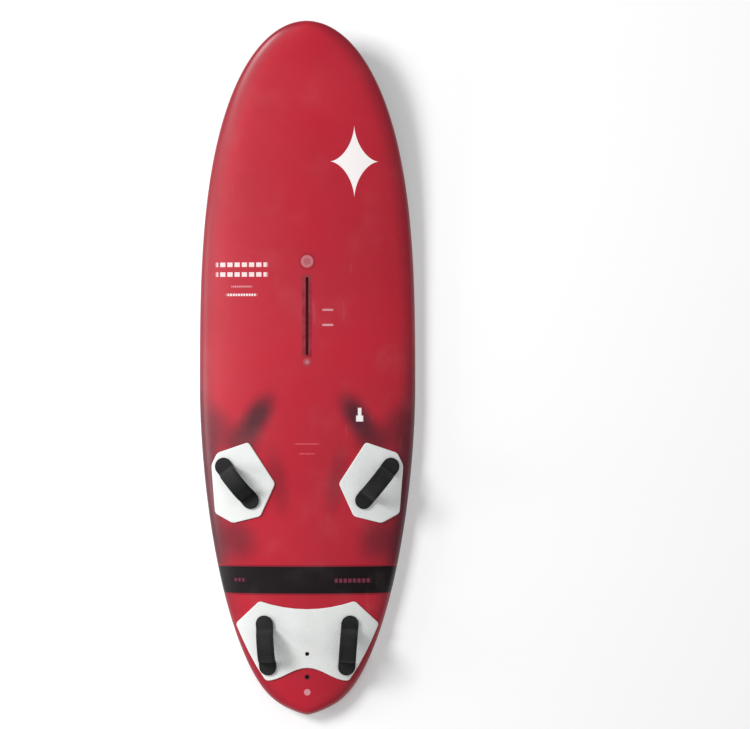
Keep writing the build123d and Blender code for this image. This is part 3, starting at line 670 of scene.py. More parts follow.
@dataclass(frozen=True)
class BottomCarbon:
    """Satin carbon cloth under lacquer, with painted sheen streaks, a white band and a red line round the
    rail.
    """

    hull: HullForm
    dark: Colour = paint(56, 56, 58)
    # Colour of the painted sheen streaks.
    light: Colour = paint(98, 98, 101)
    red: Colour = paint(176, 30, 50)

    def build(self, shared: SharedEffects) -> bpy.types.Material:
        """Build the material."""
        recipe = Surface("bottom_carbon")
        cloth = recipe.group(shared.weave, Place=recipe.place, Pitch=0.004, Slant=1.0)
        # Painted sheen: soft lighter streaks along the bottom stand in for reflections of the lights.
        painted_sheen = recipe.noise(recipe.place, 1.6, detail=3.0, stretch=(1.0, 0.5, 1.0))
        dark = recipe.blend(recipe.ramp(painted_sheen, 0.35, 0.68), self.dark, self.light)
        colour = recipe.blend(recipe.maths("MULTIPLY", cloth.outputs["Over"], 0.22), dark, paint(18, 18, 20))
        dot = Mark(MarkShape.DISC, (0.0, 0.262 - self.hull.length / 2), (0.008, 0.008), paint(12, 12, 12))
        star = Mark(MarkShape.STAR, (-0.127, 1.898 - self.hull.length / 2), (0.108, 0.160), WHITE_PRINT)
        heart = Mark(MarkShape.STAR, (-0.127, 1.898 - self.hull.length / 2), (0.058, 0.058), WHITE_PRINT)
        for mark in (dot, star, heart):
            colour = recipe.blend(mark.mask(recipe), colour, mark.colour)
        band = recipe.attribute("rail_band")
        colour = recipe.blend(recipe.ramp(band, 0.98, 1.02, 1.0, 0.0), colour, paint(236, 236, 236))
        rail = recipe.attribute("rail_gap")
        colour = recipe.blend(recipe.ramp(rail, 0.0095, 0.0105, 1.0, 0.0), colour, self.red)
        wear = recipe.group(shared.wear, Place=recipe.place, Dust=0.05, Scuffs=0.12)
        colour = recipe.blend(wear.outputs["Scuffs"], colour, paint(140, 140, 142))
        colour = recipe.blend(wear.outputs["Dust"], colour, paint(128, 126, 122))
        rough = recipe.maths("ADD", 0.36, recipe.maths("MULTIPLY", wear.outputs["Dust"], 0.9))
        recipe.set(Base_Color=colour, Roughness=rough, Coat_Weight=0.5, Coat_Roughness=0.22)
        recipe.relief(cloth.outputs["Height"], 0.00006)
        return recipe.material


@dataclass(frozen=True)
class Lacquer:
    """Plain sprayed paint with a faint orange-peel surface."""

    name: str
    colour: Colour
    worn: Colour

    def build(self, shared: SharedEffects) -> bpy.types.Material:
        """Build the material."""
        recipe = Surface(self.name)
        wear = recipe.group(shared.wear, Place=recipe.place, Dust=0.25, Scuffs=0.4)
        grain = recipe.group(shared.grain, Place=recipe.place, Scale=350.0, Cloud=14.0)
        share = recipe.maths("MULTIPLY", grain.outputs["Mottle"], 0.25)
        colour = recipe.blend(share, self.colour, self.worn)
        colour = recipe.blend(wear.outputs["Scuffs"], colour, self.worn)
        rough = recipe.ramp(grain.outputs["Mottle"], 0.0, 1.0, 0.26, 0.38, eased=False)
        recipe.set(Base_Color=colour, Roughness=rough, Coat_Weight=0.6, Coat_Roughness=0.15)
        recipe.relief(grain.outputs["Height"], 0.00005)
        return recipe.material


@dataclass(frozen=True)
class PadFoam:
    """Pale cross-linked foam with a pressed diamond tread, greyer in its grooves and in clouds, with a
    little dust.
    """

    name: str = "pad_foam"
    pale: Colour = paint(222, 225, 223)
    darker_grey: Colour = paint(176, 172, 170)
    pitch: float = 0.0085

    def build(self, shared: SharedEffects) -> bpy.types.Material:
        """Build the material."""
        recipe = Surface(self.name)
        x, y = recipe.parts(recipe.local(recipe.place, (0.0, 0.0), (self.pitch, self.pitch), 45.0))
        ridge = [recipe.maths("ABSOLUTE", recipe.maths("SINE", recipe.maths("MULTIPLY", part, math.pi)))
                 for part in (x, y)]
        tread = recipe.maths("POWER", recipe.maths("MINIMUM", *ridge), 0.35)
        grain = recipe.group(shared.grain, Place=recipe.place, Scale=2200.0, Cloud=16.0)
        wear = recipe.group(shared.wear, Place=recipe.place, Dust=0.10, Scuffs=0.1)
        # Greyer in the tread's grooves.
        valley = recipe.ramp(tread, 0.2, 0.75, 0.16, 0.0)
        colour = recipe.blend(valley, self.pale, self.darker_grey)
        colour = recipe.blend(recipe.maths("MULTIPLY", grain.outputs["Mottle"], 0.10), colour, self.darker_grey)
        colour = recipe.blend(wear.outputs["Dust"], colour, paint(196, 190, 184))
        rough = recipe.ramp(tread, 0.0, 1.0, 0.92, 0.74, eased=False)
        recipe.set(Base_Color=colour, Roughness=rough, Sheen_Weight=0.12, Specular_IOR_Level=0.3)
        recipe.relief(tread, 0.0009)
        recipe.relief(grain.outputs["Height"], 0.00018)
        return recipe.material


@dataclass(frozen=True)
class StrapFabric:
    """Knitted or napped cloth over neoprene, on the piece's own UV map in metres, with a painted highlight
    on the threads' tops.
    """

    name: str
    colour: Colour
    highlight_and_mottle: Colour
    pitch: float
    slant: float
    depth: float
    rough: float = 0.86

    def build(self, shared: SharedEffects) -> bpy.types.Material:
        """Build the material."""
        recipe = Surface(self.name)
        cloth_place = recipe.add("UVMap", uv_map="cloth").outputs["UV"]
        cloth = recipe.group(shared.weave, Place=cloth_place, Pitch=self.pitch, Slant=self.slant)
        grain = recipe.group(shared.grain, Place=recipe.place, Scale=1600.0, Cloud=30.0)
        wear = recipe.group(shared.wear, Place=recipe.place, Dust=0.10, Scuffs=0.0)
        # Painted highlight: the threads' raised tops are drawn lighter; the cloudy mottle below uses the
        # same lighter colour.
        threads = recipe.maths("MULTIPLY", cloth.outputs["Height"], 0.6)
        colour = recipe.blend(threads, self.colour, self.highlight_and_mottle)
        colour = recipe.blend(recipe.maths("MULTIPLY", grain.outputs["Mottle"], 0.25), colour, self.highlight_and_mottle)
        colour = recipe.blend(wear.outputs["Dust"], colour, paint(104, 98, 94))
        rough = recipe.ramp(cloth.outputs["Over"], 0.0, 1.0, self.rough, self.rough - 0.10, eased=False)
        recipe.set(Base_Color=colour, Roughness=rough, Sheen_Weight=0.04, Specular_IOR_Level=0.25)
        recipe.relief(cloth.outputs["Height"], self.depth)
        recipe.relief(grain.outputs["Height"], self.depth / 2)
        return recipe.material


@dataclass(frozen=True)
class Moulding:
    """Moulded plastic or rubber with a spark-eroded grain, a mottle and scuffs."""

    name: str
    colour: Colour
    worn: Colour
    rough: float = 0.45
    depth: float = 0.00008

    def build(self, shared: SharedEffects) -> bpy.types.Material:
        """Build the material."""
        recipe = Surface(self.name)
        grain = recipe.group(shared.grain, Place=recipe.place, Scale=1800.0, Cloud=45.0)
        wear = recipe.group(shared.wear, Place=recipe.place, Dust=0.4, Scuffs=0.5)
        mottle = recipe.maths("MULTIPLY", grain.outputs["Mottle"], 0.35)
        colour = recipe.blend(mottle, self.colour, self.worn)
        colour = recipe.blend(wear.outputs["Scuffs"], colour, self.worn)
        rough = recipe.ramp(grain.outputs["Mottle"], 0.0, 1.0, self.rough - 0.06, self.rough + 0.10,
                            eased=False)
        recipe.set(Base_Color=colour, Roughness=rough, Specular_IOR_Level=0.45)
        recipe.relief(grain.outputs["Height"], self.depth)
        return recipe.material


@dataclass(frozen=True)
class Steel:
    """Stainless steel with a fine grain and dull spots."""

    name: str = "screw_steel"
    colour: Colour = paint(176, 178, 182)
    dull: Colour = paint(120, 120, 124)

    def build(self, shared: SharedEffects) -> bpy.types.Material:
        """Build the material."""
        recipe = Surface(self.name)
        grain = recipe.group(shared.grain, Place=recipe.place, Scale=2600.0, Cloud=120.0)
        mottle = recipe.maths("MULTIPLY", grain.outputs["Mottle"], 0.4)
        colour = recipe.blend(mottle, self.colour, self.dull)
        rough = recipe.ramp(grain.outputs["Mottle"], 0.0, 1.0, 0.22, 0.42, eased=False)
        recipe.set(Base_Color=colour, Roughness=rough, Metallic=1.0)
        recipe.relief(grain.outputs["Height"], 0.00003)
        return recipe.material


@dataclass(frozen=True)
class CellFoam:
    """Rigid foam: beads or fine cells."""

    name: str
    colour: Colour
    cell: float

    def build(self, shared: SharedEffects) -> bpy.types.Material:
        """Build the material."""
        recipe = Surface(self.name)
        cells = recipe.add("TexVoronoi", feature="F1")
        recipe.feed(cells.inputs["Vector"], recipe.place)
        cells.inputs["Scale"].default_value = 1 / self.cell
        edge = recipe.ramp(cells.outputs["Distance"], 0.25, 0.6, 0.0, 0.35)
        grain = recipe.group(shared.grain, Place=recipe.place, Scale=1200.0, Cloud=20.0)
        colour = recipe.blend(edge, self.colour, tuple(part * 0.55 for part in self.colour))
        rough = recipe.ramp(grain.outputs["Mottle"], 0.0, 1.0, 0.85, 0.97, eased=False)
        recipe.set(Base_Color=colour, Roughness=rough)
        recipe.relief(cells.outputs["Distance"], self.cell / 6)
        return recipe.material


# ---- Where the straps stand ------------------------------------------------------------------
@dataclass(frozen=True)
class StrapSeat:
    """One footstrap's place on the deck, and the arch that its middle line makes."""

    hull: HullForm
    end: End
    side: Side
    pitch: float = 0.152
    cover_width: float = 0.060
    cover_end: float = 0.027
    cover_bend: float = 0.009
    cover_height: float = 0.0145
    leg_setback: float = 0.018
    leg_lean: float = 78.0
    arch_height: float = 0.084
    slope_step: float = 0.0075

    @property
    def name(self) -> str:
        """The start of its pieces' names."""
        return f"{self.end.value}_{self.side.name.lower()}"

    def plan(self) -> tuple[Vector, Vector, Vector]:
        """Middle, direction and sideways direction in plan, as x and s."""
        x, s, toe = {End.FRONT: (0.236, 0.791, 38.8), End.REAR: (0.1385, 0.2425, 4.3)}[self.end]
        sign, angle = self.side.value, math.radians(toe)
        along = Vector((sign * math.sin(angle), math.cos(angle)))
        return Vector((sign * x, s)), along, Vector((along.y, -along.x))

    def over(self, place: Vector) -> Vector:
        """The deck's point over a place in plan."""
        return self.hull.on_deck(place.x, place.y)

    def upright(self) -> tuple[Matrix, float]:
        """The strap's own frame, X along it and Z out of the deck, and its true pitch."""
        middle, along, across = self.plan()
        front, rear = (self.over(middle + along * way * self.pitch / 2) for way in (1, -1))
        right, left = (self.over(middle + across * way * self.cover_width / 2) for way in (1, -1))
        chord = (front - rear).normalized()
        up = (right - left).cross(chord).normalized()
        turn = Matrix((chord, up.cross(chord), up)).transposed().to_4x4()
        return Matrix.Translation((front + rear) / 2) @ turn, (front - rear).length

    def slope(self, way: int) -> float:
        """Slope of the deck at one screw, in the strap's own frame."""
        middle, along, _ = self.plan()
        into = self.upright()[0].inverted()
        places = [way * self.pitch / 2 + step for step in (self.slope_step, -self.slope_step)]
        far, near = (into @ self.over(middle + along * place) for place in places)
        return math.atan2(far.z - near.z, far.x - near.x)

    def fixing(self, way: int) -> Matrix:
        """The frame of one screw: X along the strap, Z out of the deck."""
        upright, pitch = self.upright()
        tilt = Matrix.Rotation(-self.slope(way), 4, "Y")
        return upright @ Matrix.Translation((way * pitch / 2, 0, 0)) @ tilt

    def arch(self, step: float) -> list[Vector]:
        """The cover's middle line in the strap's frame, as points a step apart."""
        pitch = self.upright()[1]
        lean = math.radians(self.leg_lean)
        foot = pitch / 2 - self.leg_setback
        ends = []
        for way in (-1, 1):
            slope = self.slope(way) * way
            level = self.cover_height / math.cos(slope)
            meet = (foot * math.sin(lean) + (pitch / 2 * math.tan(slope) - level) * math.cos(lean)) / (
                math.sin(lean) + math.tan(slope) * math.cos(lean))
            rise = level + (meet - pitch / 2) * math.tan(slope)
            far = Vector((way * (pitch / 2 + self.cover_end), level + self.cover_end * math.tan(slope)))
            ends.append([far, Vector((way * meet, rise))])
        apex = foot * math.tan(lean)
        crown = (apex - self.arch_height) / (1 / math.cos(lean) - 1)
        corners = [*ends[0], Vector((0.0, apex)), *reversed(ends[1])]
        return rounded_line(corners, (self.cover_bend, crown, self.cover_bend), step)


def rounded_line(corners: Sequence[Vector], radii: Sequence[float], step: float) -> list[Vector]:
    """Points a step apart along straight runs joined by arcs.

    Args:
        corners: Ends and corners of the line, in a plane.
        radii: Radius of the arc at each corner between the ends.
        step: Distance between points, about.
    Returns:
        The points, evenly spaced.
    """
    rough = [corners[0]]
    for before, corner, after, radius in zip(corners, corners[1:], corners[2:], radii):
        back, ahead = (before - corner).normalized(), (after - corner).normalized()
        half = back.angle(ahead) / 2
        start = corner + back * radius / math.tan(half)
        centre = corner + (back + ahead).normalized() * radius / math.sin(half)
        sweep = math.copysign(math.pi - 2 * half, (corner - before).cross(after - corner))
        count = max(4, round(radius * abs(sweep) / step * 2))
        rough += [centre + Matrix.Rotation(sweep * i / count, 2) @ (start - centre)
                  for i in range(count + 1)]
    rough.append(corners[-1])
    lengths = [0.0]
    for first, second in zip(rough, rough[1:]):
        lengths.append(lengths[-1] + (second - first).length)
    count = round(lengths[-1] / step)
    points, i = [], 0
    for k in range(count + 1):
        want = lengths[-1] * k / count
        while i < len(rough) - 2 and lengths[i + 1] < want:
            i += 1
        share = (want - lengths[i]) / max(1e-9, lengths[i + 1] - lengths[i])
        points.append(rough[i].lerp(rough[i + 1], share))
    return points


# ---- Hull skins ------------------------------------------------------------------------------
@dataclass
class HullSkins:
    """The painted deck and the carbon bottom, with their openings and the steps under the tail."""

    hull: HullForm
    rows: int = 150
    columns: int = 56
    skin: float = 0.0015
    fitting_gap: float = 0.0003
    reach: float = 0.4
    track_corner: float = 0.006
    fin_corner: float = 0.008
    plug_radius: float = 0.0152
    step_length: float = 0.202
    step_depth: float = 0.014
    strip_front: float = 0.061
    strip_rear: float = 0.041
    step_corner: float = 0.016
    line_width: float = 0.020
    band_side: float = 0.018
    band_nose: float = 0.031
    band_widens: tuple[float, float] = (1.35, 0.75)

    def surface(self, curve: Callable[[float, float, float], Vector]) -> bmesh.types.BMesh:
        """A grid over the deck or the bottom, closed by the small flats at both tips.

        Args:
            curve: deck_point or bottom_point of the hull.
        Returns:
            The open surface.
        """
        def place(along: float, across: float) -> Vector:
            """The surface's point, the first and last rows closing the tips."""
            row = round(along * (self.rows + 2))
            closed = 0.0 if row in (0, self.rows + 2) else 1.0
            share = min(max(row - 1, 0), self.rows) / self.rows
            s = self.hull.length / 2 * (1 - math.cos(math.pi * share))
            return curve(s, 2 * across - 1, closed)

        return placed_grid(self.rows + 2, self.columns, place)

    def shell(self, name: str, curve: Callable[[float, float, float], Vector]) -> bpy.types.Object:
        """The deck's or the bottom's skin, as thick as the laminate, before its openings."""
        bm = self.surface(curve)
        bmesh.ops.remove_doubles(bm, verts=bm.verts, dist=1e-6)
        upward = curve == self.hull.deck_point
        facing = sum(face.normal.z * face.calc_area() for face in bm.faces)
        if (facing > 0) != upward:
            bmesh.ops.reverse_faces(bm, faces=bm.faces)
        piece = to_object(bm, name)
        wall = piece.modifiers.new("wall", "SOLIDIFY")
        wall.thickness = self.skin
        wall.offset = -1.0
        settle(piece)
        return piece

    def whole(self) -> bpy.types.Object:
        """The hull's closed outside, to trim other pieces with."""
        bm = self.surface(self.hull.deck_point)
        under = to_object(self.surface(self.hull.bottom_point), "trim")
        bm.from_mesh(under.data)
        bpy.data.objects.remove(under)
        bmesh.ops.remove_doubles(bm, verts=bm.verts, dist=1e-6)
        bmesh.ops.recalc_face_normals(bm, faces=bm.faces)
        return to_object(bm, "trim")

    def deck_tools(self) -> bpy.types.Object:
        """Everything that the deck is cut out for: track, vent, bolt cups and strap plugs."""
        bm = bmesh.new()
        gap = 2 * self.fitting_gap
        middle, size = middle_and_size("mast_track")
        rounded_block(bm, Vector((size.x + gap, size.y + gap, self.reach)), self.track_corner,
                      Matrix.Translation(middle))
        vent, size = middle_and_size("vent_insert")
        round_bar(bm, size.x / 2 + self.fitting_gap, self.reach, Matrix.Translation(vent))
        cups, size = middle_and_size("fin_bolt_cups")
        for way in (-1, 1):
            shift = Vector((0, way * (size.y - size.x) / 2, self.reach / 2))
            round_bar(bm, size.x / 2 + self.fitting_gap, self.reach, Matrix.Translation(cups + shift))
        for end in End:
            for side in Side:
                for way in (-1, 1):
                    fixing = StrapSeat(self.hull, end, side).fixing(way)
                    round_bar(bm, self.plug_radius, 0.02, fixing)
        return to_object(bm, "deck_tools")

    def step_block(self, side: Side, grow: float) -> bpy.types.Object:
        """The block that a tail cut-out leaves free, with walls at 45 degrees.

        Args:
            side: Which side of the tail.
            grow: How much larger it is all round.
        Returns:
            A closed block from under the bottom up to the cut-out's panel.
        """
        out = grow * math.sqrt(2)
        behind, beyond, below = -0.060, self.hull.width / 2 + 0.090, 0.030
        lean = (self.strip_front - self.strip_rear) / self.step_length
        front = self.step_length + out
        corners = [(self.strip_front - out, front), (self.strip_rear + lean * behind - out, behind),
                   (beyond, behind), (beyond, front)]
        bm = bmesh.new()
        sign = side.value
        verts = [bm.verts.new((sign * x, s - self.hull.length / 2, 0.0)) for x, s in corners]
        face = bm.faces.new(verts)
        bmesh.ops.bevel(bm, geom=[verts[0]], offset=self.step_corner, segments=8, affect="VERTICES",
                        profile=0.5, material=-1)
        face = bm.faces[:][0]
        face.normal_update()
        if face.normal.z < 0:
            face.normal_flip()
        base = bmesh.ops.extrude_face_region(bm, geom=[face], use_keep_orig=True)
        top = next(item for item in base["geom"] if isinstance(item, bmesh.types.BMFace))
        bmesh.ops.translate(bm, verts=face.verts, vec=(0, 0, -below))
        bmesh.ops.inset_region(bm, faces=[top], thickness=self.step_depth + grow,
                               depth=self.step_depth + grow, use_even_offset=True)
        bmesh.ops.recalc_face_normals(bm, faces=bm.faces)
        return to_object(bm, "step_block")

    def build_steps(self, panel: bpy.types.Material, wall: bpy.types.Material) -> list[bpy.types.Object]:
        """The recessed panels under the tail with their sloping walls."""
        steps = []
        for side in Side:
            tray = self.step_block(side, self.skin)
            tray.name = f"tail_cutout_{side.name.lower()}"
            carve(tray, self.step_block(side, 0.0), Cut.REMOVE)
            carve(tray, self.whole(), Cut.KEEP_INSIDE)
            dress(tray, panel, wall)
            for polygon in tray.data.polygons:
                polygon.material_index = 0 if abs(polygon.normal.z) > 0.95 else 1
            smooth(tray, 20.0)
            steps.append(tray)
        return steps

    def mark_rail(self, piece: bpy.types.Object) -> None:
        """Store each point's distance from the rail line, and the same in widths of the white band."""
        gaps, bands = [], []
        for vert in piece.data.vertices:
            s = min(max(vert.co.y + self.hull.length / 2, 0.0), self.hull.length)
            inboard = max(0.0, self.hull.section(s)[0] - abs(vert.co.x))
            gap = math.hypot(inboard, vert.co.z - self.hull.rail_line(s))
            start, run = self.band_widens
            ahead = min(max((s - start) / run, 0.0), 1.0)
            gaps.append(gap)
            wide = self.band_side + (self.band_nose - self.band_side) * ahead
            bands.append(max(0.0, gap - self.line_width) / wide)
        for name, values in (("rail_gap", gaps), ("rail_band", bands)):
            layer = piece.data.attributes.new(name, "FLOAT", "POINT")
            layer.data.foreach_set("value", values)

    def build(self, deck_finish: bpy.types.Material,
              bottom_finish: bpy.types.Material) -> list[bpy.types.Object]:
        """Build the two skins."""
        deck = self.shell("deck_skin", self.hull.deck_point)
        carve(deck, self.deck_tools(), Cut.REMOVE)
        bottom = self.shell("bottom_skin", self.hull.bottom_point)
        bm = bmesh.new()
        middle, size = middle_and_size("fin_box")
        gap = 2 * self.fitting_gap
        rounded_block(bm, Vector((size.x + gap, size.y + gap, 0.1)), self.fin_corner,
                      Matrix.Translation(middle))
        carve(bottom, to_object(bm, "fin_tool"), Cut.REMOVE)
        for side in Side:
            carve(bottom, self.step_block(side, self.skin), Cut.REMOVE)
        for piece, finish, node, slot in ((deck, deck_finish, "deck_laminate", "deck_paint"),
                                          (bottom, bottom_finish, "bottom_laminate", "bottom_carbon")):
            self.mark_rail(piece)
            dress(piece, finish)
            smooth(piece, 40.0)
            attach(piece, BODY)
            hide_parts(node)
            log.info("%s: %d faces", piece.name, len(piece.data.polygons))
        return [deck, bottom]


# ---- Deck pads -------------------------------------------------------------------------------
@dataclass
class DeckPads:
    """The two front pads and the wide rear pad, with a rounded top edge and strap windows."""

    hull: HullForm
    finish: bpy.types.Material
    thick: float = 0.007
    glue: float = 0.0004
    corner: float = 0.009
    edge: float = 0.0028
    window: tuple[float, float] = (0.040, 0.046)
    window_corner: float = 0.008
    window_shift: float = 0.002
    facet: float = 0.012
    bolt_radius: float = 0.007
    horn: tuple[float, float] = (0.162, 0.392)
    dip: float = 0.365
    side_ends: tuple[float, float] = (0.314, 0.119)
    side_margins: tuple[float, float] = (0.012, 0.018)
    notch: float = 0.165
    front_outline: tuple[tuple[float, float], ...] = (
        (0.1985, 0.931), (0.3057, 0.894), (0.326, 0.852), (0.3135, 0.689), (0.252, 0.656),
        (0.158, 0.680), (0.1075, 0.791))

    def rear_outline(self) -> list[tuple[float, float]]:
        """Right half of the rear pad's outline, from its dip in front to its notch behind."""
        horn_x, horn_s = self.horn
        dip = [(horn_x * t / 4, self.dip + (horn_s - self.dip) * (t / 4) ** 2) for t in range(5)]
        ahead, behind = self.side_ends
        least, more = self.side_margins
        rail = []
        for t in range(5):
            s = ahead + (behind - ahead) * t / 4
            rail.append((self.hull.half_width(s) - least - more * t / 4, s))
        heel_x, heel_s = rail[-1]
        notch = [(heel_x * (1 - t / 8), heel_s + (self.notch - heel_s) * (1 - math.cos(math.pi * t / 8)) / 2)
                 for t in range(1, 9)]
        return dip + rail + notch

    def block(self, outline: Sequence[tuple[float, float]], sharp: Sequence[int],
              name: str) -> bpy.types.Object:
        """A flat pad of an outline, with the rounded edge on top.

        Args:
            outline: Places in plan, as x and s.
            sharp: Which of them are corners to round.
            name: Name of the piece.
        Returns:
            The closed pad, lying on height 0.
        """
        bm = bmesh.new()
        verts = [bm.verts.new((x, s - self.hull.length / 2, 0.0)) for x, s in outline]
        bm.faces.new(verts)
        bmesh.ops.bevel(bm, geom=[verts[i] for i in sharp], offset=self.corner, segments=6,
                        affect="VERTICES", profile=0.5, material=-1)
        face = bm.faces[:][0]
        face.normal_update()
        if face.normal.z < 0:
            face.normal_flip()
        base = bmesh.ops.extrude_face_region(bm, geom=[face], use_keep_orig=True)
        top = next(item for item in base["geom"] if isinstance(item, bmesh.types.BMFace))
        bmesh.ops.translate(bm, verts=top.verts, vec=(0, 0, self.thick - self.edge))
        steps = 4
        for i in range(steps):
            turn = [math.pi / 2 * (i + k) / steps for k in (0, 1)]
            bmesh.ops.inset_region(bm, faces=[top], use_even_offset=True,
                                   thickness=self.edge * (math.cos(turn[0]) - math.cos(turn[1])),
                                   depth=self.edge * (math.sin(turn[1]) - math.sin(turn[0])))
        bmesh.ops.recalc_face_normals(bm, faces=bm.faces)
        return to_object(bm, name)

    def windows(self, seats: Sequence[StrapSeat]) -> bpy.types.Object:
        """Tools for the openings round the strap fixings."""
        bm = bmesh.new()
        for seat in seats:
            for way in (-1, 1):
                fixing = seat.fixing(way)
                heading = math.atan2(fixing[1][0], fixing[0][0])
                middle = fixing @ Vector((-way * self.window_shift, 0, 0))
                place = Matrix.Translation((middle.x, middle.y, 0)) @ Matrix.Rotation(heading, 4, "Z")
                rounded_block(bm, Vector((*self.window, 0.1)), self.window_corner, place)
        return to_object(bm, "windows")

    def lay(self, piece: bpy.types.Object) -> None:
        """Divide a flat pad finely and lay it on the deck."""
        bm = bmesh.new()
        bm.from_mesh(piece.data)
        for axis in (0, 1):
            places = [vert.co[axis] for vert in bm.verts]
            count = int((max(places) - min(places)) / self.facet)
            for i in range(1, count + 1):
                point = Vector((0.0, 0.0, 0.0))
                point[axis] = min(places) + (max(places) - min(places)) * i / (count + 1)
                normal = Vector((1.0 - axis, axis, 0.0))
                bmesh.ops.bisect_plane(bm, geom=bm.verts[:] + bm.edges[:] + bm.faces[:], dist=1e-6,
                                       plane_co=point, plane_no=normal)
        for vert in bm.verts:
            s = vert.co.y + self.hull.length / 2
            rise = self.hull.deck_stretch(vert.co.x, s) * (self.glue + vert.co.z)
            vert.co.z = self.hull.deck_height(vert.co.x, s) + rise
        bm.to_mesh(piece.data)
        bm.free()

    def finish_pad(self, piece: bpy.types.Object, seats: Sequence[StrapSeat]) -> bpy.types.Object:
        """Cut a pad's windows, lay it on the deck and dress it."""
        carve(piece, self.windows(seats), Cut.REMOVE)
        self.lay(piece)
        dress(piece, self.finish)
        smooth(piece, 32.0)
        node = piece.name.removesuffix("_foam")
        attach(piece, BODY)
        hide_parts(node)
        log.info("%s: %d faces", piece.name, len(piece.data.polygons))
        return piece

    def build(self) -> list[bpy.types.Object]:
        """Build the three pads."""
        pads = []
        for side in Side:
            outline = [(side.value * x, s) for x, s in self.front_outline]
            pad = self.block(outline, range(len(outline)), f"front_{side.name.lower()}_pad_foam")
            pads.append(self.finish_pad(pad, [StrapSeat(self.hull, End.FRONT, side)]))
        right = self.rear_outline()
        left = [(-x, s) for x, s in reversed(right[1:-1])]
        outline = right + left
        corners = [i for i, (x, s) in enumerate(outline) if (abs(x), s) in (right[4], right[5], right[9])]
        pad = self.block(outline, corners, "rear_pad_foam")
        cups, size = middle_and_size("fin_bolt_cups")
        bm = bmesh.new()
        for way in (-1, 1):
            shift = Vector((0, way * (size.y - size.x) / 2, 0))
            round_bar(bm, self.bolt_radius, 1.0, Matrix.Translation(cups + shift))
        carve(pad, to_object(bm, "bolt_tools"), Cut.REMOVE)
        pads.append(self.finish_pad(pad, [StrapSeat(self.hull, End.REAR, side) for side in Side]))
        return pads


